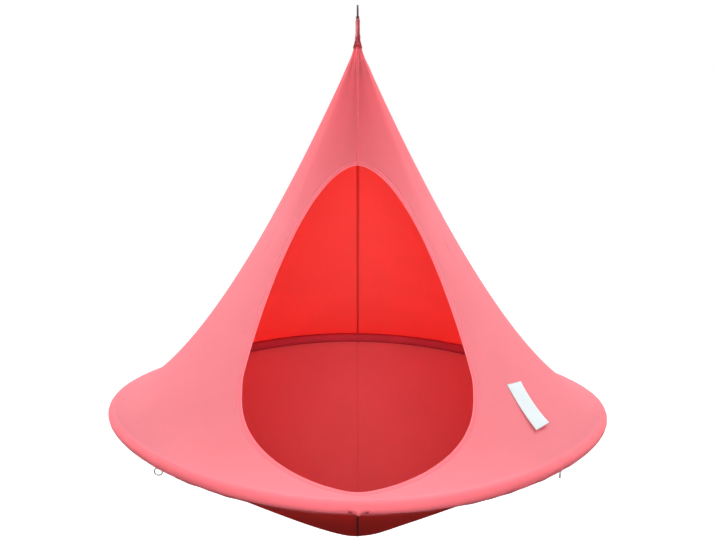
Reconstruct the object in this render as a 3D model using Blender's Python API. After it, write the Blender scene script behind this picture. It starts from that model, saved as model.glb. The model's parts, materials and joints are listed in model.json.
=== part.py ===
"""Hanging tent: a cloth cone and floor round a jointed aluminium hoop, hung from one steel ring.

Metres, +Z up, doorway towards -Y. The origin is the point inside the top of the hanging ring
where a hook bears. Heights named here are counted from the middle of the rim roll, which lies
HOOP_DROP below the origin. Azimuths are counted from the doorway, towards +X.
"""

import math
from bisect import bisect_right

import bmesh
import bpy
from mathutils import Matrix, Vector

# Running gap between meshes that touch, and the small gap of cloth sewn on cloth
GAP = 0.0003
SEWN_GAP = 0.0010

# Rim and hoop
HOOP_DROP = 1.205
HOOP_RADIUS = 0.745
HOOP_SECTIONS = 6
RIM_SADDLE = 0.0031
RIM_WAVE = 0.0124
RIM_ROLL = 0.0091
TUBE_DIAMETER = 0.028
TUBE_WALL = 0.0015
SPIGOT_WALL = 0.0015
SPIGOT_LENGTH = 0.110

# Spring buttons that lock the hoop's sections
BUTTON_DIAMETER = 0.006
BUTTON_PROUD = 0.0022
BUTTON_FROM_JOINT = 0.030
BUTTON_SHOULDER = 0.0013
BUTTON_SHOULDER_HEIGHT = 0.0016
BUTTON_DRILLING = 0.0004
SPRING_LENGTH = 0.026
SPRING_WIDTH = 0.007
SPRING_THICKNESS = 0.0005

# Cloth
CLOTH = 0.0016
CANOPY_HEIGHT = 1.102
CANOPY_CURVE = 1.515
CANOPY_OVERLAP = 0.004
CROWN_RADIUS = 0.0085
NECK_RISE = 0.045
NECK_WIDTH = 0.011
FRONT_FLATNESS = 0.10
RIDGE_AZIMUTH = math.radians(52)
RIDGE_TOP_RADIUS = 0.14
RIDGE_END_RADIUS = 0.40
FLOOR_DEPTH = 0.43
FLOOR_POINT_RADIUS = 0.08
FLOOR_SEAT = math.radians(54)
SEAM_TAPE_WIDTH = 0.012
SEAM_TAPE_THICKNESS = 0.0008
CROWN_PATCH_TOP_RADIUS = 0.013
CROWN_PATCH_RADIUS = 0.050
CROWN_PATCH_THICKNESS = 0.0012

# Doorway and its hem
DOOR_WIDTH = 0.620
DOOR_TOP = 0.753
DOOR_SILL = 0.0104
DOOR_WIDEST = 0.1956
DOOR_SHOULDER_POWER = 1.13
DOOR_SHOULDER_SQUARE_POWER = 1.77
DOOR_FOOT_POWER = 3.13
DOOR_FOOT_SQUARE_POWER = 1.64
HEM_BEAD_WIDTH = 0.0045
HEM_BEAD_HEIGHT = 0.0046
HEM_WIDTH = 0.012
HEM_THICKNESS = 0.0012

# Hanging ring and strap
RING_WIRE = 0.006
RING_INNER_WIDTH = 0.030
RING_CORNER = 0.005
RING_BAR_DROP = 0.0305
STRAP_WIDTH = 0.025
STRAP_THICKNESS = 0.0022
STRAP_SPLIT_DROP = 0.077
STRAP_END_RADIUS = 0.0134

# Anchor rings under the rim: azimuth, and how far each is turned from the line of the rim
ANCHORS = {
    1: (math.radians(-44.4), math.radians(45)),
    2: (math.radians(45.7), math.radians(25)),
    3: (math.radians(135), math.radians(0)),
    4: (math.radians(-135), math.radians(0)),
}
ANCHOR_RING_DIAMETER = 0.024
ANCHOR_WIRE = 0.0032
ANCHOR_TAB_WIDTH = 0.006
ANCHOR_TAB_THICKNESS = 0.001
ANCHOR_TAB_DROP = 0.003

# Label
LABEL_WIDTH = 0.062
LABEL_LENGTH = 0.145
LABEL_THICKNESS = 0.0006
LABEL_TOP_RADIUS = 0.553
LABEL_AZIMUTH = math.radians(51.7)
LABEL_SLANT = 0.16
LABEL_LIFT = 0.009

# Fineness of the meshes
STEPS_PER_SECTION = 10
CANOPY_STEPS = 14
FLOOR_STEPS = 7
TUBE_SIDES = 10
WIRE_SIDES = 8
ANCHOR_SIDES = 6
DOOR_STEPS = 44

# Sizes worked out from the ones above
STATIONS = HOOP_SECTIONS * STEPS_PER_SECTION
STEP = math.tau / STATIONS
TUBE_RADIUS = TUBE_DIAMETER / 2
SLEEVE_RISE = BUTTON_PROUD / 2 + GAP
SLEEVE_INNER = TUBE_RADIUS + GAP + SLEEVE_RISE
SLEEVE_OUTER = SLEEVE_INNER + CLOTH
CANOPY_EDGE = HOOP_RADIUS + CANOPY_OVERLAP
CANOPY_EDGE_HEIGHT = SLEEVE_OUTER + GAP + CLOTH / 2
FLOOR_EDGE = HOOP_RADIUS - (SLEEVE_OUTER + 2 * GAP) * math.cos(FLOOR_SEAT)
FLOOR_EDGE_HEIGHT = -(SLEEVE_OUTER + 2 * GAP) * math.sin(FLOOR_SEAT)
RING_BAR = Vector((0, 0, -RING_BAR_DROP))


# Places round the rim and on the cloth

def place(radius, height, azimuth):
    """The point at a radius and a height above the rim roll's middle."""
    return Vector((radius * math.sin(azimuth), -radius * math.cos(azimuth), height - HOOP_DROP))


def rim_height(azimuth):
    """The hoop is not flat: its load bends it up and down by this much."""
    bend = RIM_SADDLE * math.cos(2 * azimuth) + RIM_WAVE * math.cos(3 * azimuth)
    return -bend - RIM_ROLL * math.sin(azimuth)


def rim_point(azimuth, outward, up):
    """A point beside the rim's middle line, on the straight runs between its stations."""
    index = math.floor(azimuth / STEP + 1e-6)
    ends = []
    for station in (index * STEP, (index + 1) * STEP):
        ends.append(place(HOOP_RADIUS + outward, rim_height(station) + up, station))
    return ends[0].lerp(ends[1], azimuth / STEP - index)


def between(values, start, end):
    """Start, every value strictly inside, and end."""
    inside = [value for value in values if start + 1e-5 < value < end - 1e-5]
    return [start, *inside, end]


def graded(start, end, steps):
    """Values from start to end, closer together towards both."""
    return [start + (end - start) * (1 - math.cos(math.pi * i / steps)) / 2 for i in range(steps + 1)]


def smooth_fall(value, start, end):
    """One up to start, nought from end on, smooth between."""
    share = min(max((value - start) / (end - start), 0), 1)
    return 1 - share * share * (3 - 2 * share)


class Cloth:
    """A sewn skin round the axis, as flat facets between radii and rim stations."""

    def __init__(self, height, radii, outside, pull):
        self.height = height
        self.radii = radii
        self.outside = outside
        self.pull = pull

    def vertex(self, radius, azimuth):
        bend = rim_height(azimuth) * (radius / self.radii[-1]) ** 2
        return place(radius * self.pull(radius, azimuth), self.height(radius) + bend, azimuth)

    def normal(self, radius, azimuth):
        """The unit vector out of the tent."""
        radius = max(radius, 1e-4)
        step = 1e-5
        along = self.vertex(radius + step, azimuth) - self.vertex(radius - step, azimuth)
        round_about = self.vertex(radius, azimuth + step) - self.vertex(radius, azimuth - step)
        return along.cross(round_about).normalized() * self.outside

    def point(self, radius, azimuth, off=0.0):
        """The point on the facet at this radius and azimuth, set off along the normal."""
        row = min(max(bisect_right(self.radii, radius) - 1, 0), len(self.radii) - 2)
        low, high = self.radii[row], self.radii[row + 1]
        column = math.floor(azimuth / STEP + 1e-6)
        share = azimuth / STEP - column
        ends = []
        for value in (low, high):
            first = self.vertex(value, column * STEP)
            ends.append(first.lerp(self.vertex(value, (column + 1) * STEP), share))
        spot = ends[0].lerp(ends[1], (radius - low) / (high - low))
        return spot + self.normal(radius, azimuth) * off

    def at(self, x, y, off=0.0):
        """The point over or under a place in plan."""
        azimuth = math.atan2(x, -y)
        radius = math.hypot(x, y)
        for _ in range(4):
            radius = math.hypot(x, y) / self.pull(radius, azimuth)
        return self.point(radius, azimuth, off)


def canopy_height(radius):
    share = max(1 - radius / CANOPY_EDGE, 0)
    cone = (CANOPY_HEIGHT - CANOPY_EDGE_HEIGHT) * share ** CANOPY_CURVE
    return CANOPY_EDGE_HEIGHT + cone + NECK_RISE * math.exp(-radius / NECK_WIDTH)


def canopy_pull(radius, azimuth):
    """The cloth is drawn flat between two soft ridges above the doorway."""
    turn = abs(math.remainder(azimuth, math.tau)) / RIDGE_AZIMUTH
    if turn >= 1:
        return 1
    fade = smooth_fall(radius, RIDGE_TOP_RADIUS, RIDGE_END_RADIUS)
    return 1 - FRONT_FLATNESS * fade * math.cos(turn * math.pi / 2) ** 2


def floor_height(radius):
    """The floor hangs as a shallow cone with a rounded point."""
    soft = FLOOR_POINT_RADIUS
    full = math.hypot(FLOOR_EDGE, soft) - soft
    return FLOOR_EDGE_HEIGHT - FLOOR_DEPTH * (1 - (math.hypot(radius, soft) - soft) / full)


def no_pull(radius, azimuth):
    return 1


CANOPY = Cloth(canopy_height, graded(CROWN_RADIUS, CANOPY_EDGE, CANOPY_STEPS), 1, canopy_pull)
FLOOR = Cloth(floor_height, graded(0, FLOOR_EDGE, FLOOR_STEPS), -1, no_pull)


# Mesh building

def material(name, colour, roughness, metallic=0.0):
    made = bpy.data.materials.new(name)
    made.use_nodes = True
    shader = made.node_tree.nodes["Principled BSDF"]
    shader.inputs["Base Color"].default_value = (*colour, 1)
    shader.inputs["Roughness"].default_value = roughness
    shader.inputs["Metallic"].default_value = metallic
    return made


def empty(name, location):
    made = bpy.data.objects.new(name, None)
    made.location = location
    made.empty_display_size = 0.05
    bpy.context.scene.collection.objects.link(made)
    return made


def piece(name, loops, finish, cyclic=False, origin=Vector(), parent=None):
    """A closed solid through a row of closed loops, capped at both ends or joined in a ring."""
    shape = bmesh.new()
    rows = [[shape.verts.new(spot - origin) for spot in loop] for loop in loops]
    pairs = list(zip(rows, rows[1:]))
    if cyclic:
        pairs.append((rows[-1], rows[0]))
    else:
        shape.faces.new(rows[0])
        shape.faces.new(rows[-1])
    for here, there in pairs:
        for i, corner in enumerate(here):
            shape.faces.new((corner, here[i - 1], there[i - 1], there[i]))
    bmesh.ops.remove_doubles(shape, verts=shape.verts, dist=1e-5)
    bmesh.ops.recalc_face_normals(shape, faces=shape.faces)
    mesh = bpy.data.meshes.new(name)
    shape.to_mesh(mesh)
    shape.free()
    mesh.materials.append(finish)
    mesh.shade_smooth()
    mesh.set_sharp_from_angle(angle=math.radians(35))
    made = bpy.data.objects.new(name, mesh)
    made.location = origin
    bpy.context.scene.collection.objects.link(made)
    if parent:
        made.parent = parent
        made.matrix_parent_inverse = Matrix.Translation(-parent.location)
    return made


def cut(solid, cutter):
    """Take the cutter out of the solid."""
    cutter.display_type = "WIRE"
    cutter.hide_render = True
    boolean = solid.modifiers.new("cut", "BOOLEAN")
    boolean.operation = "DIFFERENCE"
    boolean.object = cutter


def corner_radius(radius, sides):
    """How far the corners of a many-sided ring lie out when its flats lie at the radius."""
    return radius / math.cos(math.pi / sides)


def circle(radius, sides):
    """Corners of a ring whose flats lie at the radius, as pairs of across and up."""
    corner = corner_radius(radius, sides)
    turns = [math.tau * i / sides for i in range(sides)]
    return [(corner * math.cos(turn), corner * math.sin(turn)) for turn in turns]


def rim_tube(name, start, end, outer, inner, rise, finish, parent):
    """An open-ended tube along the rim from one azimuth to another."""
    stations = range(-STATIONS, 2 * STATIONS)
    azimuths = between([i * STEP for i in stations], start, end)
    loops = []
    for far, near in zip(circle(outer, TUBE_SIDES), circle(inner, TUBE_SIDES)):
        loop = [rim_point(azimuth, far[0], rise + far[1]) for azimuth in azimuths]
        loop += [rim_point(azimuth, near[0], rise + near[1]) for azimuth in reversed(azimuths)]
        loops.append(loop)
    return piece(name, loops, finish, cyclic=True, parent=parent)


def strip(name, path, across, width, thickness, finish, parent):
    """Flat webbing or spring leaf along a path, its width along one direction."""
    half = across * width / 2
    loops = []
    for i, spot in enumerate(path):
        before = (spot - path[i - 1]).normalized() if i else None
        after = (path[i + 1] - spot).normalized() if i + 1 < len(path) else None
        before = before or after
        after = after or before
        side = (before + after).cross(across).normalized()
        side *= thickness / 2 / side.dot(before.cross(across))
        loops.append([spot - half - side, spot + half - side, spot + half + side, spot - half + side])
    return piece(name, loops, finish, parent=parent)


def wire_ring(name, path, normal, radius, sides, finish, origin, parent=None):
    """Round wire along a closed flat path."""
    loops = []
    for i, spot in enumerate(path):
        along = (path[(i + 1) % len(path)] - path[i - 1]).normalized()
        out = along.cross(normal)
        loops.append([spot + out * u + normal * v for u, v in circle(radius, sides)])
    return piece(name, loops, finish, cyclic=True, origin=origin, parent=parent)


# The tent's cloth

def cloth_panel(name, cloth, hand, finish, parent):
    """One half of a skin, from the seam in front to the seam behind."""
    loops = []
    for j in range(STATIONS // 2 + 1):
        azimuth = hand * j * STEP
        loop = []
        for off, radii in ((CLOTH / 2, cloth.radii), (-CLOTH / 2, reversed(cloth.radii))):
            for radius in radii:
                spot = cloth.vertex(radius, azimuth) + cloth.normal(radius, azimuth) * off
                spot.x = hand * max(hand * spot.x, GAP / 2)
                loop.append(spot)
        loops.append(loop)
    return piece(name, loops, finish, parent=parent)


def seam_tape(name, cloth, start, end, finish, parent):
    """A tape inside a skin over the seam on x = 0; radii in front of the axis are negative."""
    signed = sorted({*cloth.radii, *(-radius for radius in cloth.radii)})
    near = -(CLOTH / 2 + SEWN_GAP)
    far = near - SEAM_TAPE_THICKNESS
    half = SEAM_TAPE_WIDTH / 2
    loops = []
    for radius in between(signed, start, end):
        y = radius * cloth.pull(abs(radius), 0 if radius < 0 else math.pi)
        top = [cloth.at(x, y, near) for x in (-half, 0, half)]
        under = [cloth.at(x, y, far) for x in (half, 0, -half)]
        loops.append(top + under)
    return piece(name, loops, finish, parent=parent)


def crown_patch(finish, parent):
    """The reinforcement inside the top of the cone."""
    near = -(CLOTH / 2 + SEWN_GAP)
    radii = between(CANOPY.radii, CROWN_PATCH_TOP_RADIUS, CROWN_PATCH_RADIUS)
    loops = []
    for j in range(0, STATIONS, 2):
        loop = [CANOPY.point(radius, j * STEP, near) for radius in radii]
        far = near - CROWN_PATCH_THICKNESS
        loop += [CANOPY.point(radius, j * STEP, far) for radius in reversed(radii)]
        loops.append(loop)
    return piece("crown_patch", loops, finish, cyclic=True, parent=parent)


def door_outline():
    """The doorway seen from the front: half widths and heights, evenly spaced from top to sill."""
    half = DOOR_WIDTH / 2
    fine = 10 * DOOR_STEPS
    curve = []
    for i in range(fine + 1):
        turn = math.pi * i / fine
        if 2 * i <= fine:
            reach = math.cos(turn) ** (2 / DOOR_SHOULDER_POWER) * (DOOR_TOP - DOOR_WIDEST)
            wide = math.sin(turn) ** (2 / DOOR_SHOULDER_SQUARE_POWER)
        else:
            reach = -(-math.cos(turn)) ** (2 / DOOR_FOOT_POWER) * (DOOR_WIDEST - DOOR_SILL)
            wide = max(math.sin(turn), 0) ** (2 / DOOR_FOOT_SQUARE_POWER)
        curve.append((half * wide, DOOR_WIDEST + reach))
    lengths = [0]
    for here, there in zip(curve, curve[1:]):
        lengths.append(lengths[-1] + math.dist(here, there))
    outline = []
    for i in range(DOOR_STEPS + 1):
        spot = bisect_right(lengths, lengths[-1] * i / DOOR_STEPS) - 1
        outline.append(curve[min(spot, fine)])
    return outline


def on_canopy(x, height):
    """The radius and azimuth where the canopy's front passes a half width and a height."""
    azimuth = 0
    for _ in range(20):
        low, high = CROWN_RADIUS, CANOPY_EDGE
        for _ in range(40):
            radius = (low + high) / 2
            if CANOPY.vertex(radius, azimuth).z + HOOP_DROP > height:
                low = radius
            else:
                high = radius
        azimuth = math.asin(x / (radius * canopy_pull(radius, azimuth)))
    return radius, azimuth


def door_frames():
    """Round the doorway: a point on the cloth, the way off the opening, and the normal."""
    right = [on_canopy(x, height) for x, height in door_outline()]
    left = [(radius, -azimuth) for radius, azimuth in reversed(right[1:-1])]
    spots = right + left
    points = [CANOPY.point(radius, azimuth) for radius, azimuth in spots]
    middle = sum(points, Vector()) / len(points)
    frames = []
    for i, (radius, azimuth) in enumerate(spots):
        along = points[(i + 1) % len(points)] - points[i - 1]
        normal = CANOPY.normal(radius, azimuth)
        away = along.cross(normal).normalized()
        if away.dot(points[i] - middle) < 0:
            away.negate()
        frames.append((points[i], away, normal))
    return frames


def door_cutter(frames):
    """A plug through the canopy, square to the cloth all round the doorway."""
    reach = 20 * CLOTH
    inner = [spot - normal * reach for spot, away, normal in frames]
    outer = [spot + normal * reach for spot, away, normal in frames]
    edge = [spot for spot, away, normal in frames]
    middle = (DOOR_TOP + DOOR_SILL) / 2
    front = place(2 * HOOP_RADIUS, middle, 0)
    behind = place(0, middle, 0)
    loops = [[behind] * len(frames), inner, edge, outer, [front] * len(frames)]
    shape = bmesh.new()
    rows = [[shape.verts.new(spot) for spot in loop] for loop in loops]
    for here, there in zip(rows, rows[1:]):
        for i, corner in enumerate(here):
            shape.faces.new((corner, here[i - 1], there[i - 1], there[i]))
    bmesh.ops.remove_doubles(shape, verts=shape.verts, dist=1e-6)
    bmesh.ops.recalc_face_normals(shape, faces=shape.faces)
    mesh = bpy.data.meshes.new("door_cutter")
    shape.to_mesh(mesh)
    shape.free()
    made = bpy.data.objects.new("door_cutter", mesh)
    bpy.context.scene.collection.objects.link(made)
    return made


def door_hem(frames, finish, parent):
    """A rolled bead in the doorway's edge with its flange behind the cloth."""
    near = -(CLOTH / 2 + SEWN_GAP)
    far = near - HEM_THICKNESS
    rise = HEM_BEAD_HEIGHT / 2
    bead = [
        (-GAP, near),
        (-GAP, 0.6 * rise),
        (-GAP - 0.25 * HEM_BEAD_WIDTH, rise),
        (-GAP - 0.75 * HEM_BEAD_WIDTH, 0.9 * rise),
        (-GAP - HEM_BEAD_WIDTH, 0),
        (-GAP - 0.8 * HEM_BEAD_WIDTH, far),
    ]
    loops = []
    for spot, away, normal in frames:
        middle = spot + away * (HEM_WIDTH / 2)
        edge = spot + away * HEM_WIDTH
        flange = []
        for plan, off in ((middle, far), (edge, far), (edge, near), (middle, near)):
            flange.append(CANOPY.at(plan.x, plan.y, off))
        loops.append([spot + away * off + normal * up for off, up in bead] + flange)
    return piece("door_hem", loops, finish, cyclic=True, parent=parent)


def label(finish, parent):
    """A cloth label sewn on by its top edge, its lower end standing off."""
    columns = 4
    rows = 7
    radius = LABEL_TOP_RADIUS
    length = LABEL_LENGTH / rows
    loops = []
    for i in range(rows + 1):
        lift = CLOTH / 2 + GAP + LABEL_LIFT * (i / rows) ** 2
        middle = LABEL_AZIMUTH - LABEL_SLANT * i * length / radius
        loop = []
        for off, turns in ((lift + LABEL_THICKNESS, range(columns + 1)), (lift, range(columns, -1, -1))):
            for j in turns:
                across = LABEL_WIDTH * (j / columns - 0.5)
                loop.append(CANOPY.point(radius, middle + across / radius, off))
        loops.append(loop)
        slope = (canopy_height(radius + GAP) - canopy_height(radius)) / GAP
        radius += length / math.hypot(1, slope)
    return piece("label", loops, finish, parent=parent)


# The hoop inside the rim

def hoop(finish, steel, parent):
    """Tube sections on inner spigots, each locked by a spring button through both walls."""
    section = math.tau / HOOP_SECTIONS
    end_gap = GAP / 2 / HOOP_RADIUS
    inside = TUBE_RADIUS - TUBE_WALL
    spigot_outer = inside - GAP
    spigot_inner = spigot_outer - SPIGOT_WALL
    reach = SPIGOT_LENGTH / 2 / HOOP_RADIUS
    for k in range(1, HOOP_SECTIONS + 1):
        joint = (k - 0.5) * section
        tube = rim_tube(f"hoop_section_{k}", joint + end_gap, joint + section - end_gap,
                        TUBE_RADIUS, inside, -SLEEVE_RISE, finish, parent)
        spigot = rim_tube(f"hoop_spigot_{k}", joint - reach, joint + reach,
                          spigot_outer, spigot_inner, -SLEEVE_RISE, steel, parent)
        azimuth = joint + BUTTON_FROM_JOINT / HOOP_RADIUS
        middle = rim_point(azimuth, 0, -SLEEVE_RISE)
        hole = drill(f"drill_{k}", middle)
        cut(tube, hole)
        cut(spigot, hole)
        button(k, middle, spigot_inner, steel, parent)
        button_spring(k, azimuth, middle, spigot_inner, steel, parent)


def disc(middle, height, radius):
    return [middle + Vector((across, up, height)) for across, up in circle(radius, WIRE_SIDES)]


def drill(name, middle):
    """The drilling through the upper walls at a button."""
    radius = BUTTON_DIAMETER / 2 + BUTTON_DRILLING
    return piece(name, [disc(middle, 0, radius), disc(middle, TUBE_DIAMETER, radius)], None)


def button_shoulder_height(spigot_inner):
    """The button's shoulder is wider than its hole and stops against the spigot's round wall."""
    corner = corner_radius(BUTTON_DIAMETER / 2 + BUTTON_SHOULDER, WIRE_SIDES)
    return math.sqrt(spigot_inner ** 2 - corner ** 2) - GAP


def button(k, middle, spigot_inner, finish, parent):
    radius = BUTTON_DIAMETER / 2
    wide = radius + BUTTON_SHOULDER
    top = TUBE_RADIUS + BUTTON_PROUD
    shoulder = button_shoulder_height(spigot_inner)
    chamfer = radius / 4
    loops = [
        disc(middle, shoulder - BUTTON_SHOULDER_HEIGHT, wide),
        disc(middle, shoulder, wide),
        disc(middle, shoulder, radius),
        disc(middle, top - chamfer, radius),
        disc(middle, top, radius - chamfer),
    ]
    return piece(f"hoop_button_{k}", loops, finish, origin=middle, parent=parent)


def button_spring(k, azimuth, middle, spigot_inner, finish, parent):
    """A folded leaf that bears on the spigot's floor and pushes the button up."""
    reach = SPRING_LENGTH / 2 / HOOP_RADIUS
    along = (rim_point(azimuth + reach, 0, 0) - rim_point(azimuth - reach, 0, 0)).normalized()
    across = Vector((0, 0, 1)).cross(along).normalized()
    up = along.cross(across)
    half = SPRING_LENGTH / 2
    seat = SPRING_THICKNESS + GAP - math.sqrt(spigot_inner ** 2 - (SPRING_WIDTH / 2) ** 2)
    top = button_shoulder_height(spigot_inner) - BUTTON_SHOULDER_HEIGHT - GAP - SPRING_THICKNESS
    fold = (top - seat) / 6
    path = [(-half, seat), (half - fold, seat), (half, seat + fold), (half - fold, seat + 2 * fold),
            (2 * BUTTON_SHOULDER, top), (-BUTTON_DIAMETER / 2, top)]
    spots = [middle + along * run + up * rise for run, rise in path]
    return strip(f"hoop_spring_{k}", spots, across, SPRING_WIDTH, SPRING_THICKNESS, finish, parent)


# What the tent hangs by, and its anchor rings

def arc(middle, radius, start, end, steps, right, up):
    """Points along an arc in the plane of two directions."""
    spots = []
    for i in range(steps + 1):
        turn = start + (end - start) * i / steps
        spots.append(middle + right * (radius * math.cos(turn)) + up * (radius * math.sin(turn)))
    return spots


def hanging_ring(finish):
    """A D-shaped steel ring: a straight bar in the strap's fold and an arch above."""
    wire = RING_WIRE / 2
    half = RING_INNER_WIDTH / 2 + wire
    right = Vector((0, 1, 0))
    up = Vector((0, 0, 1))
    arch = up * (wire - half)
    quarter = math.pi / 2
    low = RING_BAR + up * RING_CORNER
    side = right * (half - RING_CORNER)
    path = arc(arch, half, 0, math.pi, 14, right, up)
    path += arc(low - side, RING_CORNER, math.pi, 3 * quarter, 3, right, up)
    path += arc(low + side, RING_CORNER, 3 * quarter, 4 * quarter, 3, right, up)
    return wire_ring("hanging_ring", path, Vector((1, 0, 0)), wire, WIRE_SIDES, finish, RING_BAR)


def hanging_strap(finish, parent):
    """Webbing folded over the ring's bar, its two legs sewn on the sides of the crown."""
    right = Vector((1, 0, 0))
    up = Vector((0, 0, 1))
    fold = corner_radius(RING_WIRE / 2, WIRE_SIDES) + GAP + STRAP_THICKNESS / 2
    off = CLOTH / 2 + GAP + STRAP_THICKNESS / 2
    leg = [CANOPY.point(radius, math.pi / 2, off) for radius in (STRAP_END_RADIUS, CROWN_RADIUS)]
    leg.append(right * fold - up * STRAP_SPLIT_DROP)
    other = [Vector((-spot.x, spot.y, spot.z)) for spot in reversed(leg)]
    path = leg + arc(RING_BAR, fold, 0, math.pi, 8, right, up) + other
    return strip("hanging_strap", path, Vector((0, 1, 0)), STRAP_WIDTH, STRAP_THICKNESS, finish, parent)


def anchor(k, azimuth, turn, cloth, steel, parent):
    """A short tape loop under the rim roll with a steel ring hanging in it."""
    up = Vector((0, 0, 1))
    along = Vector((math.cos(azimuth + turn), math.sin(azimuth + turn), 0))
    side = up.cross(along)
    wire = ANCHOR_WIRE / 2
    mean = ANCHOR_RING_DIAMETER / 2 - wire
    sag = mean - math.sqrt(mean ** 2 - (ANCHOR_TAB_WIDTH / 2) ** 2)
    fold = corner_radius(wire, ANCHOR_SIDES) + sag + GAP + ANCHOR_TAB_THICKNESS / 2
    top = rim_point(azimuth, 0, -(SLEEVE_OUTER + GAP))
    hinge = top - up * ANCHOR_TAB_DROP
    path = [top + side * fold] + arc(hinge, fold, 0, -math.pi, 6, side, up) + [top - side * fold]
    strip(f"anchor_tab_{k}", path, along, ANCHOR_TAB_WIDTH, ANCHOR_TAB_THICKNESS, cloth, parent)
    circle_path = arc(hinge - up * mean, mean, 0, math.tau, 20, along, up)[:-1]
    wire_ring(f"anchor_ring_{k}", circle_path, side, wire, ANCHOR_SIDES, steel, hinge, parent)


def main():
    for thing in list(bpy.data.objects):
        bpy.data.objects.remove(thing)
    cloth = material("canopy_cloth", (0.87, 0.13, 0.16), 0.75)
    floor_cloth = material("floor_cloth", (0.62, 0.04, 0.05), 0.8)
    trim = material("hem_and_tape", (0.80, 0.10, 0.12), 0.75)
    webbing = material("webbing", (0.50, 0.11, 0.13), 0.8)
    white = material("label_cloth", (0.88, 0.90, 0.92), 0.8)
    steel = material("steel", (0.45, 0.45, 0.46), 0.3, 1.0)
    aluminium = material("aluminium", (0.72, 0.73, 0.75), 0.35, 1.0)

    pivot = empty("tent_pivot", RING_BAR)
    hanging_ring(steel)
    hanging_strap(webbing, pivot)

    frames = door_frames()
    cutter = door_cutter(frames)
    for side, hand in (("left", -1), ("right", 1)):
        cut(cloth_panel(f"canopy_{side}", CANOPY, hand, cloth, pivot), cutter)
        cloth_panel(f"floor_{side}", FLOOR, hand, floor_cloth, pivot)
        end_gap = GAP / 2 / HOOP_RADIUS
        start, end = sorted((hand * end_gap, hand * (math.pi - end_gap)))
        rim_tube(f"rim_sleeve_{side}", start, end, SLEEVE_OUTER, SLEEVE_INNER, 0, cloth, pivot)
    door_hem(frames, trim, pivot)
    crown_patch(webbing, pivot)
    below_patch = CROWN_PATCH_RADIUS + SEAM_TAPE_WIDTH / 2
    above_rim = HOOP_RADIUS - 2 * SLEEVE_OUTER
    door_top = on_canopy(0, DOOR_TOP)[0]
    seam_tape("seam_tape_back", CANOPY, below_patch, above_rim, trim, pivot)
    seam_tape("seam_tape_front", CANOPY, 2 * HEM_WIDTH - door_top, -below_patch, trim, pivot)
    seam_tape("seam_tape_floor", FLOOR, -above_rim, above_rim, trim, pivot)
    label(white, pivot)

    hoop(aluminium, steel, pivot)
    for k, (azimuth, turn) in ANCHORS.items():
        anchor(k, azimuth, turn, webbing, steel, pivot)


main()
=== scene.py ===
"""Looks of the hanging tent: its cloth, webbing, label, metal and studio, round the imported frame.

Metres, +Z up, doorway towards -Y, in the row frame. As in the part, heights are counted from the
middle of the rim roll, HOOP_DROP below the origin, and azimuths from the doorway, towards +X.
A place on a cloth is given by its length along the cloth from the top or the middle, and its azimuth.
"""

import json
import math

import bpy
import numpy as np
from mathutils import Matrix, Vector


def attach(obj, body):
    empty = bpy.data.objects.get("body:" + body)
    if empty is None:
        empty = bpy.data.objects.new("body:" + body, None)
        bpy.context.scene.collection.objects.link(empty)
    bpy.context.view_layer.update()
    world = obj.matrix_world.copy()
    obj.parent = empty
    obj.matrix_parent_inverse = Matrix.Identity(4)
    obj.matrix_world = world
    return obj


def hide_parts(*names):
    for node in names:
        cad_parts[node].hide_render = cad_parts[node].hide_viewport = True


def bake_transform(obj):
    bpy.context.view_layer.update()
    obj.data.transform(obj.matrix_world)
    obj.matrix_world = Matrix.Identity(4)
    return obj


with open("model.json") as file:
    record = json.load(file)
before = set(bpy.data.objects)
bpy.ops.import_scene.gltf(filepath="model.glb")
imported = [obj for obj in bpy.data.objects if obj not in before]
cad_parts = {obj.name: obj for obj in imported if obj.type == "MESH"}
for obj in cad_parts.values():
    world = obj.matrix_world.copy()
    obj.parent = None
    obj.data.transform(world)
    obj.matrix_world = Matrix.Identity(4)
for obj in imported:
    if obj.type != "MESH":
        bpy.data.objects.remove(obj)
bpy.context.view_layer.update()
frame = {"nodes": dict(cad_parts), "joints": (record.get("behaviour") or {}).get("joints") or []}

# The part's own sizes
HOOP_DROP = 1.205
HOOP_RADIUS = 0.745
RIM_SADDLE = 0.0031
RIM_WAVE = 0.0124
RIM_ROLL = 0.0091
CANOPY_HEIGHT = 1.102
CANOPY_CURVE = 1.515
CANOPY_OVERLAP = 0.004
CROWN_RADIUS = 0.0085
NECK_RISE = 0.045
NECK_WIDTH = 0.011
FRONT_FLATNESS = 0.10
RIDGE_AZIMUTH = math.radians(52)
RIDGE_TOP_RADIUS = 0.14
RIDGE_END_RADIUS = 0.40
FLOOR_DEPTH = 0.43
FLOOR_POINT_RADIUS = 0.08
FLOOR_SEAT = math.radians(54)
DOOR_WIDTH = 0.620
DOOR_TOP = 0.753
DOOR_SILL = 0.0104
DOOR_WIDEST = 0.1956
DOOR_SHOULDER_POWER = 1.13
DOOR_SHOULDER_SQUARE_POWER = 1.77
DOOR_FOOT_POWER = 3.13
DOOR_FOOT_SQUARE_POWER = 1.64
HEM_WIDTH = 0.012
RING_WIRE = 0.006
RING_INNER_WIDTH = 0.030
RING_CORNER = 0.005
RING_BAR_DROP = 0.0305
STRAP_WIDTH = 0.025
STRAP_SPLIT_DROP = 0.077
STRAP_END_RADIUS = 0.0134
ANCHOR_RING_DIAMETER = 0.024
ANCHOR_WIRE = 0.0032
ANCHOR_TAB_WIDTH = 0.006
HOOP_SECTIONS = 6
BUTTON_DIAMETER = 0.006
BUTTON_FROM_JOINT = 0.030
BUTTON_SHOULDER = 0.0013
SPRING_LENGTH = 0.026
SPRING_WIDTH = 0.007
SPRING_THICKNESS = 0.0005
LABEL_WIDTH = 0.062
LABEL_LENGTH = 0.145
LABEL_TOP_RADIUS = 0.553
LABEL_AZIMUTH = math.radians(51.7)
LABEL_LIFT = 0.009

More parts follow.
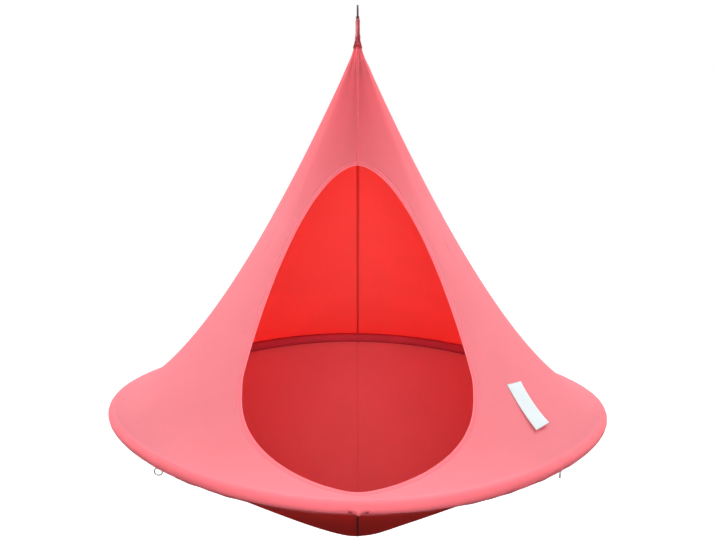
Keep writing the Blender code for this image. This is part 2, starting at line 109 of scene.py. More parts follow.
# How far the hoop lies below the middle of the rim roll, and a leaf spring's seat and top from there
HOOP_SAG = 0.0014
SPRING_SEAT = -0.0093
SPRING_TOP = 0.0070

# How far the label leans to one side on its way down, and the tilt of its sewn end
LABEL_SLANT = 0.20
LABEL_TILT = 0.009

# Real thickness of the cloths
CANOPY_CLOTH = 0.0009
FLOOR_CLOTH = 0.0011
TAPE_CLOTH = 0.0006
LABEL_CLOTH = 0.0005
WEBBING = 0.0018
ANCHOR_TAPE = 0.0010

# Room between two cloths that lie on each other, and where a piece outside the canopy starts
CLOTH_GAP = 0.0002
SEAM_GAP = 0.0001
LABEL_GAP = 0.0004
ON_CANOPY = CANOPY_CLOTH / 2 + CLOTH_GAP

# Sewing: stitches, felled seams with their rows of stitches at a share of the width, the turned hem,
# the strap's grooved edges, and the allowance under the rim, cut back near the anchor rings
STITCH_PITCH = 0.0042
THREAD_RADIUS = 0.00035
SEAM_WIDTH = 0.007
FLOOR_SEAM_WIDTH = 0.0055
STITCH_ROW = 0.31
HEM_FOLD = 0.0013
HEM_ALLOWANCE = 0.0010
STRAP_GROOVE = 0.0012
ALLOWANCE_DEPTH = 0.0050
ALLOWANCE_CUT = 0.0008
CUT_START = 0.010
CUT_END = 0.018

# Where sewn pieces start and end along the cloth: below the crown's edge, from the floor's point
SEAM_START = 0.016
PATCH_START = 0.012
PATCH_END = 0.105
PATCH_DEPTH = 0.0012
TACK_START = 0.009
TACK_END = 0.0145
TAPE_START = 0.11
FLOOR_SEAM_START = 0.004

# The anchor tape's loop: room for the ring, where it straightens, and its top in the seam
ANCHOR_ROOM = 0.0011
ANCHOR_STRAIGHT = 0.0015
ANCHOR_TOP = 0.0045

# Where the cloths wrap the rim: radii of the roll, and angles round it, from outwards up
ROLL_TOP = math.radians(90)
CANOPY_ROLL_END = math.radians(-84)
FLOOR_ROLL_START = math.radians(-126)
FLOOR_ROLL_END = math.radians(-96)
CANOPY_ROLL_RADIUS = 0.0184
FLOOR_ROLL_RADIUS = 0.0180
SLEEVE_START = math.radians(-112)
SLEEVE_CLOSE = 0.0156
SLEEVE_LOOSE = 0.0172
FLOOR_EDGE_RADIUS = HOOP_RADIUS - FLOOR_ROLL_RADIUS * math.cos(FLOOR_SEAT)

# The camera, the floor that it sees, and the light besides the softboxes: from overhead and all round
CAMERA_LENS = 46.71
CAMERA_PLACE = (0.001, -2.821, -0.258)
CAMERA_DIP = 10.59
STUDIO_FLOOR = -2.4
STUDIO_REACH = 14.0
SKY_STRENGTH = 0.28
FILL_STRENGTH = 0.034
WHITE = (1, 1, 1, 1)

# The crown: its open top, where the strap pinches and gathers the cloth, how soft the ridges are,
# and the strap's twist
NECK_TOP_RADIUS = 0.0045
PINCH_END = 0.010
GATHER_START = 0.012
GATHER_END = 0.035
RIDGE_SOFTNESS = 0.035
STRAP_TWIST = math.radians(15)

# The canopy's looks: heights where its painted shade, a darker colour towards the crown, is full and
# gone, and light through doubled cloth
CROWN_SHADE_START = -0.10
CROWN_SHADE_END = -0.62
DOUBLED_SHARE = 0.12

# Fineness of the meshes: a whole ring's columns, the canopy's in a half, with finer ones in front,
# and the rings between these and the doorway, the first of them at these distances off its edge;
# places round the doorway for the hem and for its stitches, and steps of its outline and of a meridian
COLUMNS = 360
HALF_COLUMNS = 210
CROWN_COLUMNS = 96
PATCH_COLUMNS = 100
PATCH_AZIMUTH = math.radians(60)
PATCH_RINGS = 24
PATCH_RISE = 0.12
HEM_RINGS = (0, 0.002, 0.005, 0.008, 0.0100, 0.0112, 0.0120, 0.0128, 0.0140, 0.0165)
HEM_PLACES = 460
STITCH_PLACES = 1800
DOOR_STEPS = 6000
PROFILE_STEPS = 6000

# Creases near the rim: azimuth in degrees, length from the top of the roll, height, long, wide, slant
CREASES = [
    (-5.8, 0.024, -0.0016, 0.010, 0.0040, -0.7),
    (-5.25, 0.024, 0.0010, 0.010, 0.0035, -0.7),
    (-4.7, 0.024, -0.0016, 0.010, 0.0040, -0.7),
    (2.0, 0.029, 0.0010, 0.009, 0.0040, 1.2),
    (2.7, 0.029, -0.0015, 0.009, 0.0040, 1.2),
    (0.2, 0.045, 0.0058, 0.014, 0.0055, 0.0),
    (-1.3, 0.044, -0.0028, 0.012, 0.0070, 0.3),
    (1.7, 0.044, -0.0028, 0.012, 0.0070, -0.3),
    (-46, 0.020, -0.0014, 0.030, 0.012, -0.5),
    (-43, 0.018, 0.0016, 0.030, 0.012, -0.2),
    (44, 0.018, -0.0014, 0.030, 0.012, 0.4),
    (47.5, 0.018, 0.0016, 0.030, 0.012, 0.2),
]

# Cloths that let no light through: name, colour, depth of their creases
OPAQUE_CLOTHS = [
    ("sleeve", (0.46, 0.044, 0.074), 0.0006),
    # The allowance is a real seam under the rim; its dark colour is painted shade under the rim roll
    ("allowance", (0.40, 0.05, 0.06), 0.0006),
    ("hem", (1.0, 0.27, 0.31), 0.0004),
    ("front_tape", (1.0, 0.20, 0.20), 0.0004),
    ("seam", (0.90, 0.130, 0.155), 0.0004),
    ("dark_seam", (0.15, 0.007, 0.007), 0.0004),
    ("patch", (1.0, 0.20, 0.22), 0.0004),
]
THREADS = [
    ("thread", (0.95, 0.32, 0.38)),
    ("seam_thread", (0.90, 0.140, 0.165)),
    ("dark_seam_thread", (0.20, 0.014, 0.014)),
]

UP = np.array([0, 0, 1.0])


# Places round the rim and on the cloth

def place(radius, height, azimuth):
    """Points at radii and heights above the rim roll's middle."""
    radius, height, azimuth = np.broadcast_arrays(radius, height, azimuth)
    return np.stack([radius * np.sin(azimuth), -radius * np.cos(azimuth), height - HOOP_DROP], -1)


def rim_height(azimuth):
    """The hoop is not flat: its load bends it up and down by this much."""
    bend = RIM_SADDLE * np.cos(2 * azimuth) + RIM_WAVE * np.cos(3 * azimuth)
    return -bend - RIM_ROLL * np.sin(azimuth)


def smooth_fall(value, start, end):
    """One up to start, nought from end on, smooth between."""
    share = np.clip((value - start) / (end - start), 0, 1)
    return 1 - share * share * (3 - 2 * share)


def wrapped(azimuth):
    """The azimuth between minus and plus half a turn."""
    return np.remainder(np.asarray(azimuth) + math.pi, math.tau) - math.pi


def unit(vectors):
    """The vectors at length one."""
    return vectors / np.maximum(np.linalg.norm(vectors, axis=-1, keepdims=True), 1e-12)


def run_along(points):
    """The distance run at each point of a line, from nought."""
    return np.concatenate([[0], np.cumsum(np.linalg.norm(np.diff(points, axis=0), axis=1))])


def canopy_height(radius):
    """The cone's height at its radii, with the neck that the strap draws up."""
    share = np.maximum(1 - radius / (HOOP_RADIUS + CANOPY_OVERLAP), 0)
    cone = (CANOPY_HEIGHT - CANOPY_ROLL_RADIUS) * share ** CANOPY_CURVE
    return CANOPY_ROLL_RADIUS + cone + NECK_RISE * np.exp(-radius / NECK_WIDTH)


def canopy_pull(radius, azimuth):
    """The cloth is drawn flat between two soft ridges in front, and oval between the strap's legs."""
    ridge = math.cos(RIDGE_AZIMUTH)
    inward = 1 - ridge / np.maximum(np.cos(wrapped(azimuth)), 0.05)
    soft = RIDGE_SOFTNESS * np.logaddexp(0, inward / RIDGE_SOFTNESS)
    fade = smooth_fall(radius, RIDGE_TOP_RADIUS, RIDGE_END_RADIUS) - smooth_fall(radius, 0.01, 0.05)
    flat = 1 - FRONT_FLATNESS * fade * soft / (1 - ridge)
    pinch = smooth_fall(radius, NECK_TOP_RADIUS, PINCH_END)
    gather = smooth_fall(radius, GATHER_START, GATHER_END)
    thin = 1 - 0.20 * gather - 0.45 * pinch
    wide = 1 + 0.10 * gather + 0.90 * pinch
    return flat / np.hypot(np.sin(azimuth) / thin, np.cos(azimuth) / wide)


def floor_height(radius):
    """The floor hangs as a shallow cone with a rounded point."""
    edge_height = -FLOOR_ROLL_RADIUS * math.sin(FLOOR_SEAT)
    full = math.hypot(FLOOR_EDGE_RADIUS, FLOOR_POINT_RADIUS) - FLOOR_POINT_RADIUS
    rise = np.hypot(radius, FLOOR_POINT_RADIUS) - FLOOR_POINT_RADIUS
    return edge_height - FLOOR_DEPTH * (1 - rise / full)


def no_pull(radius, azimuth):
    return 1.0


def no_relief(length, azimuth):
    return 0.0


class Skin:
    """A cloth round the axis: a meridian, drawn in by a pull and raised by a fine relief."""

    def __init__(self, radii, heights, pull, relief, outside):
        self.radii = radii
        self.heights = heights
        self.lengths = run_along(np.stack([radii, heights], -1))
        self.pull = pull
        self.relief = relief
        self.outside = outside

    def end(self):
        return self.lengths[-1]

    def radius(self, length):
        return np.interp(length, self.lengths, self.radii)

    def bare(self, length, azimuth):
        """Points on the cloth without its relief."""
        radius = self.radius(length)
        height = np.interp(length, self.lengths, self.heights)
        bend = rim_height(azimuth) * np.minimum(radius / HOOP_RADIUS, 1) ** 2
        return place(radius * self.pull(radius, azimuth), height + bend, azimuth)

    def slopes(self, length, azimuth):
        """How the points move for a length and for an azimuth."""
        step, turn = 0.0005, 0.002
        down = self.bare(length + step, azimuth) - self.bare(length - step, azimuth)
        round_about = self.bare(length, azimuth + turn) - self.bare(length, azimuth - turn)
        return down / (2 * step), round_about / (2 * turn)

    def normal(self, length, azimuth):
        """Unit vectors out of the tent."""
        length = np.clip(length, 0.001, self.end() - 0.001)
        down, round_about = self.slopes(length, azimuth)
        return unit(np.cross(down, round_about)) * self.outside

    def at(self, length, azimuth, off=0.0):
        """Points on the cloth, set off along its normals."""
        length, azimuth = np.broadcast_arrays(np.asarray(length, float), azimuth)
        rise = self.relief(length, azimuth) + off
        return self.bare(length, azimuth) + self.normal(length, azimuth) * np.asarray(rise)[..., None]

    def moved(self, length, azimuth, vector):
        """The place on the cloth reached from a place by a vector along it."""
        down, round_about = self.slopes(length, azimuth)
        along = np.sum(vector * down, -1) / np.sum(down * down, -1)
        turn = np.sum(vector * round_about, -1) / np.sum(round_about * round_about, -1)
        return length + along, azimuth + turn


def round_rim(radii, heights, start, end, radius, steps):
    """A meridian carried on round the rim between two angles, from one radius to the floor's."""
    turn = np.linspace(start, end, steps)[1:]
    radius = np.linspace(radius, FLOOR_ROLL_RADIUS, steps)[1:]
    radii = np.concatenate([radii, HOOP_RADIUS + radius * np.cos(turn)])
    return radii, np.concatenate([heights, radius * np.sin(turn)])


def crease(length, azimuth, turn, down, long, wide, slant):
    """A soft ridge of height one near the rim, long down the cloth and wide across."""
    below = length - (CANOPY_EDGE_LENGTH + down)
    across = wrapped(azimuth - math.radians(turn)) * HOOP_RADIUS - slant * below
    return np.exp(-(below / long) ** 2 - (across / wide) ** 2)


def canopy_relief(length, azimuth):
    """Folds that the load draws in the cloth, from the crown down and along the rim."""
    past_rim = length - CANOPY_EDGE_LENGTH
    crown = np.exp(-length / 0.25) * np.minimum(length / 0.05, 1)
    folds = 0.0010 * crown * (np.cos(7 * azimuth + 0.6) + 0.7 * np.cos(11 * azimuth + 2.1))
    near_rim = np.exp(-((past_rim + 0.01) / 0.035) ** 2)
    wander = 1 + 0.6 * np.sin(5 * azimuth + 1.3) + 0.4 * np.sin(8 * azimuth + 4.0)
    puckers = 0.0004 * near_rim * wander * np.cos(61 * azimuth + 2 * np.sin(4 * azimuth))
    slack = 0.0012 * np.sin(3.1 * length + 2 * azimuth + 0.4) * np.cos(4 * azimuth + 5 * length)
    relief = folds + puckers + slack * smooth_fall(np.abs(past_rim), 0.0, 0.9)
    for turn, down, height, long, wide, slant in CREASES:
        relief = relief + height * crease(length, azimuth, turn, down, long, wide, slant)
    return relief


def floor_relief(length, azimuth):
    """The floor's slack: soft hollows between its middle and its edge."""
    between = np.sin(math.pi * np.clip(length / FLOOR_EDGE_LENGTH, 0, 1))
    soft = 0.0020 * np.cos(3 * azimuth + 2 * length + 0.5)
    fine = 0.0009 * np.cos(9 * azimuth + 6 * np.sin(3 * length))
    return between * (soft + fine)


def canopy_skin():
    """The canopy's meridian: down the cone and over the rim roll, to under it."""
    radii = np.linspace(NECK_TOP_RADIUS, HOOP_RADIUS, PROFILE_STEPS)
    heights = canopy_height(radii)
    meridian = round_rim(radii, heights, ROLL_TOP, CANOPY_ROLL_END, heights[-1], 300)
    return Skin(*meridian, canopy_pull, canopy_relief, 1)


def floor_skin():
    """The floor's meridian: from its point up to the rim roll, and under it."""
    radii = np.linspace(0, FLOOR_EDGE_RADIUS, PROFILE_STEPS)
    heights = floor_height(radii)
    meridian = round_rim(radii, heights, FLOOR_ROLL_START, FLOOR_ROLL_END, FLOOR_ROLL_RADIUS, 100)
    return Skin(*meridian, no_pull, floor_relief, -1)


def sleeve_skin():
    """The sleeve all round the hoop: close to it under the canopy, looser inside the tent."""
    turn = np.linspace(SLEEVE_START, SLEEVE_START + math.tau - math.radians(2), 400)
    radius = SLEEVE_LOOSE - (SLEEVE_LOOSE - SLEEVE_CLOSE) * smooth_fall(turn, ROLL_TOP, math.radians(130))
    return Skin(HOOP_RADIUS + radius * np.cos(turn), radius * np.sin(turn), no_pull, no_relief, 1)


def length_at(skin, radius):
    """The length along a skin where its meridian first passes a radius."""
    return skin.lengths[int(np.argmax(skin.radii >= radius - 1e-9))]


CANOPY = canopy_skin()
FLOOR = floor_skin()
SLEEVE = sleeve_skin()
CROWN_LENGTH = length_at(CANOPY, CROWN_RADIUS)
CANOPY_EDGE_LENGTH = length_at(CANOPY, HOOP_RADIUS)
FLOOR_EDGE_LENGTH = length_at(FLOOR, FLOOR_EDGE_RADIUS)


# Mesh building

def make_object(name, points, faces, finishes, finish_of_face=None, uv=None):
    """A smooth mesh object through points; faces are rows of point numbers."""
    mesh = bpy.data.meshes.new(name)
    mesh.from_pydata([tuple(point) for point in points], [], [tuple(face) for face in faces])
    for finish in finishes:
        mesh.materials.append(finish)
    if finish_of_face is not None:
        mesh.polygons.foreach_set("material_index", finish_of_face)
    if uv is not None:
        layer = mesh.uv_layers.new(name="cut")
        corners = np.empty(len(mesh.loops), dtype=np.int32)
        mesh.loops.foreach_get("vertex_index", corners)
        layer.data.foreach_set("uv", np.asarray(uv)[corners].ravel())
    mesh.shade_smooth()
    mesh.update()
    made = bpy.data.objects.new(name, mesh)
    bpy.context.scene.collection.objects.link(made)
    return made


def shell(name, skin, lengths, azimuths, faces, thickness, finishes, uv, rise=0.0):
    """A thin closed cloth: an outer and an inner layer, joined round every open edge."""
    outer = skin.at(lengths, azimuths, rise + thickness / 2)
    inner = skin.at(lengths, azimuths, rise - thickness / 2)
    count = len(lengths)
    directed = {(face[i - 1], face[i]) for face in faces for i in range(len(face))}
    joined = list(faces)
    joined += [tuple(corner + count for corner in reversed(face)) for face in faces]
    finish_of_face = [0] * len(faces) + [1] * len(faces)
    for start, end in sorted(directed):
        if (end, start) not in directed:
            joined.append((end, start, start + count, end + count))
            finish_of_face.append(0)
    points = np.concatenate([outer, inner])
    return make_object(name, points, joined, finishes, finish_of_face, np.concatenate([uv, uv]))


def solid(name, points, faces, finish, uv=None):
    """A closed object of one finish, its faces turned outwards."""
    made = make_object(name, points, faces, [finish], uv=uv)
    if signed_volume(made.data) < 0:
        made.data.flip_normals()
    return made


def tube_faces(rings, sides, cyclic=False):
    """Faces of a tube through rings of points, capped or joined end to end."""
    faces = []
    for i in range(rings if cyclic else rings - 1):
        here, there = i * sides, (i + 1) % rings * sides
        for j in range(sides):
            k = (j + 1) % sides
            faces.append((here + j, here + k, there + k, there + j))
    if not cyclic:
        faces.append(tuple(reversed(range(sides))))
        faces.append(tuple(range((rings - 1) * sides, rings * sides)))
    return faces


def sweep(name, loops, finish, cyclic=False, woven=False):
    """A closed solid through closed loops of points; a woven one gets metres along and across it."""
    loops = np.asarray(loops)
    uv = None
    if woven:
        metres = np.meshgrid(run_along(loops[:, 0]), run_along(loops[0]), indexing="ij")
        uv = np.stack(metres, -1).reshape(-1, 2)
    return solid(name, loops.reshape(-1, 3), tube_faces(*loops.shape[:2], cyclic), finish, uv)


def signed_volume(mesh):
    """Six times the volume inside a mesh, below nought where its faces look inwards."""
    mesh.calc_loop_triangles()
    corners = np.empty(3 * len(mesh.vertices))
    mesh.vertices.foreach_get("co", corners)
    triangles = np.empty(3 * len(mesh.loop_triangles), dtype=np.int32)
    mesh.loop_triangles.foreach_get("vertices", triangles)
    a, b, c = corners.reshape(-1, 3)[triangles.reshape(-1, 3)].transpose(1, 0, 2)
    return float(np.sum(a * np.cross(b, c)))


def stretches(start, *runs):
    """Values from the start on, in even steps: each run has its end and its longest step."""
    values = [start]
    for end, step in runs:
        count = max(1, math.ceil((end - values[-1]) / step))
        values += list(np.linspace(values[-1], end, count + 1)[1:])
    return values


def grid_faces(rows, columns, closed):
    """Faces of a grid of points numbered row by row, its columns closed to a ring or not."""
    faces = []
    for i in range(rows - 1):
        for j in range(columns if closed else columns - 1):
            k = (j + 1) % columns
            faces.append((i * columns + j, (i + 1) * columns + j, (i + 1) * columns + k, i * columns + k))
    return faces


def rings_net(rows, columns=COLUMNS):
    """Lengths, azimuths and faces of a skin made of whole rings."""
    azimuths = np.tile(np.arange(columns) * math.tau / columns, len(rows))
    return np.repeat(rows, columns), azimuths, grid_faces(len(rows), columns, True)


def cut_uv(lengths, azimuths):
    """Where each point of the canopy lay on its flat cut, in metres: a half panel rolled out."""
    cone = HOOP_RADIUS / CANOPY_EDGE_LENGTH
    turn = (np.abs(wrapped(azimuths)) - math.pi / 2) * cone
    side = np.where(wrapped(azimuths) < 0, -1, 1)
    return np.stack([(lengths * np.sin(turn) + 2) * side, lengths * np.cos(turn)], -1)


# The doorway

def door_curve():
    """The doorway's right half seen from the front: half widths and heights from top to sill."""
    turn = np.linspace(0, math.pi, DOOR_STEPS + 1)
    rise = np.cos(turn)
    upper = np.maximum(rise, 0) ** (2 / DOOR_SHOULDER_POWER) * (DOOR_TOP - DOOR_WIDEST)
    lower = np.maximum(-rise, 0) ** (2 / DOOR_FOOT_POWER) * (DOOR_WIDEST - DOOR_SILL)
    power = np.where(rise >= 0, 2 / DOOR_SHOULDER_SQUARE_POWER, 2 / DOOR_FOOT_SQUARE_POWER)
    wide = np.maximum(np.sin(turn), 0) ** power * DOOR_WIDTH / 2
    return wide, DOOR_WIDEST + upper - lower


def on_canopy(x, height):
    """Lengths and azimuths where the canopy's front passes half widths and heights."""
    azimuth = np.zeros_like(x)
    for _ in range(30):
        low = np.full_like(x, CROWN_RADIUS)
        high = np.full_like(x, HOOP_RADIUS)
        for _ in range(40):
            radius = (low + high) / 2
            above = canopy_height(radius) + rim_height(azimuth) * (radius / HOOP_RADIUS) ** 2 > height
            low = np.where(above, radius, low)
            high = np.where(above, high, radius)
        azimuth = np.arcsin(np.clip(x / (radius * canopy_pull(radius, azimuth)), -1, 1))
    return np.interp(radius, CANOPY.radii[:PROFILE_STEPS], CANOPY.lengths[:PROFILE_STEPS]), azimuth


DOOR_LINE = on_canopy(*door_curve())
DOOR_TOP_LENGTH = DOOR_LINE[0][0]


def door_places(count):
    """Evenly spaced places on the canopy round the doorway, from its top over +X and back."""
    length, azimuth = DOOR_LINE
    length = np.concatenate([length, length[-2::-1]])
    azimuth = np.concatenate([azimuth, -azimuth[-2::-1]])
    run = run_along(CANOPY.bare(length, azimuth))
    spots = np.arange(count) * run[-1] / count
    return np.interp(spots, run, length), np.interp(spots, run, azimuth)


class Doorway:
    """Places round the doorway, and the way off the opening along the cloth."""

    def __init__(self, count):
        self.length, self.azimuth = door_places(count)
        points = CANOPY.bare(self.length, self.azimuth)
        along = np.roll(points, -1, 0) - np.roll(points, 1, 0)
        self.normal = CANOPY.normal(self.length, self.azimuth)
        self.away = unit(np.cross(along, self.normal)) * -1
        self.edge = CANOPY.at(self.length, self.azimuth)

    def off(self, distance):
        """Places a distance off the opening."""
        return CANOPY.moved(self.length, self.azimuth, self.away * distance)

    def points(self, distance, rise):
        """Points off the opening and off the cloth; inside the opening they lie straight on."""
        if distance < 0:
            return self.edge + self.away * distance + self.normal * rise
        return CANOPY.at(*self.off(distance), rise)


def hem_rise(distance):
    """The turned hem stands a little proud, and its stitches draw the cloth in at its far side."""
    puffed = 0.0005 * smooth_fall(distance, HEM_WIDTH - 0.004, HEM_WIDTH)
    return puffed - 0.0006 * math.exp(-((distance - HEM_WIDTH) / 0.0016) ** 2)


def column_azimuth(turn):
    """Azimuth of a column of the canopy: finest in the middle of the front, coarser behind."""
    share = min(abs(turn), PATCH_COLUMNS) / PATCH_COLUMNS
    front = (0.35 + 0.65 * share) * share * PATCH_AZIMUTH
    coarse = (math.pi - PATCH_AZIMUTH) / (HALF_COLUMNS - PATCH_COLUMNS)
    return math.copysign(front + max(abs(turn) - PATCH_COLUMNS, 0) * coarse, turn)


def canopy_rows():
    """Lengths of the canopy's rings, closer at the crown and round the rim."""
    edge = CANOPY_EDGE_LENGTH
    return stretches(0, (0.08, 0.003), (edge - 0.06, 0.014), (edge, 0.006), (CANOPY.end(), 0.0035))


def canopy_net():
    """Lengths, azimuths, rises and faces: rings round the axis and, in front, round the doorway."""
    rows = canopy_rows()
    turns = range(-HALF_COLUMNS, HALF_COLUMNS)
    first = int(np.searchsorted(rows, DOOR_TOP_LENGTH - PATCH_RISE))
    last = int(np.searchsorted(rows, CANOPY_EDGE_LENGTH + CANOPY_ROLL_RADIUS * ROLL_TOP))
    half = PATCH_COLUMNS
    places = [(i, turn) for i in range(len(rows)) for turn in turns
              if not (first < i < last and abs(turn) < half)]
    number = {spot: index for index, spot in enumerate(places)}
    lengths = np.array([rows[i] for i, turn in places])
    azimuths = np.array([column_azimuth(turn) for i, turn in places])
    faces = []
    for i in range(len(rows) - 1):
        for turn in turns:
            if first <= i < last and -half <= turn < half:
                continue
            after = turn + 1 if turn + 1 < HALF_COLUMNS else -HALF_COLUMNS
            faces.append((number[i, turn], number[i + 1, turn], number[i + 1, after], number[i, after]))
    border = [(first, turn) for turn in range(0, half)]
    border += [(i, half) for i in range(first, last)]
    border += [(last, turn) for turn in range(half, -half, -1)]
    border += [(i, -half) for i in range(last, first, -1)]
    border += [(first, turn) for turn in range(-half, 0)]
    border = [number[spot] for spot in border]
    lengths, azimuths, rises, rings = door_rings(lengths, azimuths, border)
    for inner, outer in zip(rings, rings[1:]):
        for j in range(len(border)):
            faces.append((inner[j - 1], inner[j], outer[j], outer[j - 1]))
    return lengths, azimuths, rises, faces


def door_rings(lengths, azimuths, border):
    """Adds the places of the rings between the doorway and a border of places."""
    door = Doorway(len(border))
    places = [door.off(distance) for distance in HEM_RINGS]
    heights = [hem_rise(distance) for distance in HEM_RINGS] + [0.0] * (PATCH_RINGS - 1)
    start_length, start_azimuth = places[-1]
    end_length, end_azimuth = lengths[border], azimuths[border]
    gap = CANOPY.bare(end_length, end_azimuth) - CANOPY.bare(start_length, start_azimuth)
    reach = np.linalg.norm(gap, axis=1)[:, None] * 0.6
    for ring in range(1, PATCH_RINGS):
        share = ring / PATCH_RINGS
        mix = share * share * (3 - 2 * share)
        near = CANOPY.moved(start_length, start_azimuth, door.away * reach * share)
        places.append((near[0] * (1 - mix) + end_length * mix, near[1] * (1 - mix) + end_azimuth * mix))
    rings = []
    rises = np.zeros(len(lengths))
    for (ring_lengths, ring_azimuths), height in zip(places, heights):
        rings.append(list(range(len(lengths), len(lengths) + len(border))))
        lengths = np.concatenate([lengths, ring_lengths])
        azimuths = np.concatenate([azimuths, ring_azimuths])
        rises = np.concatenate([rises, np.full(len(border), height)])
    rings.append(border)
    return lengths, azimuths, rises, rings


# Materials

def new_material(name):
    """A material, its nodes, its shader, and the place on the object in metres."""
    made = bpy.data.materials.new(name)
    made.use_nodes = True
    tree = made.node_tree
    spot = node(tree, "ShaderNodeTexCoord").outputs["Object"]
    return made, tree, tree.nodes["Principled BSDF"], spot


def feed(tree, entry, value):
    """Links an output to an input, or sets the input to a plain value."""
    if isinstance(value, bpy.types.NodeSocket):
        tree.links.new(value, entry)
    else:
        entry.default_value = value


def fill(tree, made, **values):
    """Sets a node's settings and feeds its inputs by their names, with _ for each space."""
    for name, value in values.items():
        if name in made.bl_rna.properties:
            setattr(made, name, value)
        else:
            feed(tree, made.inputs[name.replace("_", " ")], value)
    return made


def node(tree, kind, **values):
    """A new shader node with its settings and inputs filled."""
    return fill(tree, tree.nodes.new(kind), **values)


def combine(tree, kind, *values, **settings):
    """The first output of a new node, its inputs fed in their own order."""
    made = node(tree, kind, **settings)
    for entry, value in zip(made.inputs, values):
        feed(tree, entry, value)
    return made.outputs[0]


def math_node(tree, operation, first, second):
    return combine(tree, "ShaderNodeMath", first, second, operation=operation)


def weighed(tree, first, share, second):
    """The sum of two numbers, by the share of the first."""
    parts = [math_node(tree, "MULTIPLY", first, share), math_node(tree, "MULTIPLY", second, 1 - share)]
    return math_node(tree, "ADD", *parts)


def mix_shaders(tree, factor, first, second):
    return combine(tree, "ShaderNodeMixShader", factor, first, second)


def noise(tree, coordinates, scale, detail=3.0, roughness=0.5):
    made = node(tree, "ShaderNodeTexNoise", Vector=coordinates, Scale=scale, Detail=detail,
                Roughness=roughness)
    return made.outputs["Fac"]


def waves(tree, coordinates, direction, pitch):
    """Threads as waves in one direction, a pitch apart in metres."""
    scale = math.pi / 10 / pitch
    made = node(tree, "ShaderNodeTexWave", bands_direction=direction, Vector=coordinates, Scale=scale)
    return made.outputs["Fac"]


def colour_range(tree, factor, colour, dark, light, low=0.3, high=0.7):
    """A colour that goes from a darker to a lighter shade with a factor."""
    ramp = node(tree, "ShaderNodeValToRGB", Fac=factor)
    for stop, position, strength in zip(ramp.color_ramp.elements, (low, high), (dark, light)):
        stop.position = position
        stop.color = (*(min(1.0, value * strength) for value in colour), 1)
    return ramp.outputs["Color"]


def number_range(tree, factor, low, high, **start_and_end):
    """A number that goes from low to high with a factor."""
    made = node(tree, "ShaderNodeMapRange", Value=factor, To_Min=low, To_Max=high, **start_and_end)
    return made.outputs["Result"]


def bump(tree, height, distance, **after):
    made = node(tree, "ShaderNodeBump", Height=height, Distance=distance, **after)
    return made.outputs["Normal"]


def blend(tree, factor, tint, other):
    """A colour that turns into a plain other one with a factor."""
    mix = node(tree, "ShaderNodeMix", data_type="RGBA", Factor=factor)
    feed(tree, mix.inputs[6], tint)
    feed(tree, mix.inputs[7], (*other, 1))
    return mix.outputs[2]


def crown_shade_share(tree, spot):
    """One at the top of the cone, nought from some way down: the share of the crown colour, which is
    painted shade.
    """
    height = node(tree, "ShaderNodeSeparateXYZ", Vector=spot).outputs["Z"]
    return number_range(tree, height, 0.0, 1.0, From_Min=CROWN_SHADE_END, From_Max=CROWN_SHADE_START)


def cloth_material(name, colour, lit=None, lit_share=0.0, pitch=0.0009, weave=0.00012,
                   creases=0.0012, sheen=0.0, mottle=0.04, crown=None, doubled=None):
    """Woven cloth: threads both ways, soft creases, a mottled colour, and light through it.

    It may have a darker colour towards the crown, which is painted shade, and one more where it lies
    doubled.
    """
    made, tree, shader, spot = new_material(name)
    fine = noise(tree, spot, 140.0, 4.0, 0.6)
    varied = weighed(tree, noise(tree, spot, 5.0), 0.6, fine)
    tint = colour_range(tree, varied, colour, 1 - mottle, 1 + mottle)
    # Painted shade: the colour turns darker towards the crown
    if crown:
        tint = blend(tree, crown_shade_share(tree, spot), tint, crown)
    if doubled:
        on_cloth = node(tree, "ShaderNodeAttribute", attribute_name="doubled").outputs["Fac"]
        tint = blend(tree, on_cloth, tint, doubled)
    cut = node(tree, "ShaderNodeUVMap", uv_map="cut").outputs["UV"]
    threads = math_node(tree, "MAXIMUM", waves(tree, cut, "X", pitch), waves(tree, cut, "Y", pitch))
    rumple = bump(tree, noise(tree, spot, 14.0, 4.0, 0.55), creases)
    woven = bump(tree, threads, weave, Normal=rumple)
    fill(tree, shader, Base_Color=tint, Roughness=number_range(tree, fine, 0.74, 0.86), Normal=woven,
         Specular_IOR_Level=0.25, Sheen_Weight=sheen, Sheen_Roughness=0.4)
    if lit:
        glow = colour_range(tree, varied, lit, 1 - mottle, 1 + mottle)
        through = node(tree, "ShaderNodeBsdfTranslucent", Color=glow, Normal=woven).outputs[0]
        share = number_range(tree, on_cloth, lit_share, DOUBLED_SHARE) if doubled else lit_share
        both = mix_shaders(tree, share, shader.outputs[0], through)
        fill(tree, tree.nodes["Material Output"], Surface=both)
    return made


def webbing_material(name, colour, rib=0.0016):
    """Narrow woven tape: ribs across, coarse threads along."""
    made, tree, shader, spot = new_material(name)
    threads = math_node(tree, "MULTIPLY", waves(tree, spot, "Z", rib), waves(tree, spot, "Y", rib * 0.8))
    fuzz = noise(tree, spot, 900.0)
    both = weighed(tree, threads, 0.7, fuzz)
    fill(tree, shader, Base_Color=colour_range(tree, both, colour, 0.62, 1.15, 0.1, 0.7),
         Roughness=number_range(tree, fuzz, 0.72, 0.92), Normal=bump(tree, both, 0.0005),
         Sheen_Weight=0.2)
    return made


def thread_material(name, colour):
    """Sewing thread, twisted."""
    made, tree, shader, spot = new_material(name)
    twist = noise(tree, spot, 1500.0, 2.0)
    fill(tree, shader, Base_Color=colour_range(tree, twist, colour, 0.8, 1.1),
         Roughness=number_range(tree, twist, 0.45, 0.65))
    return made


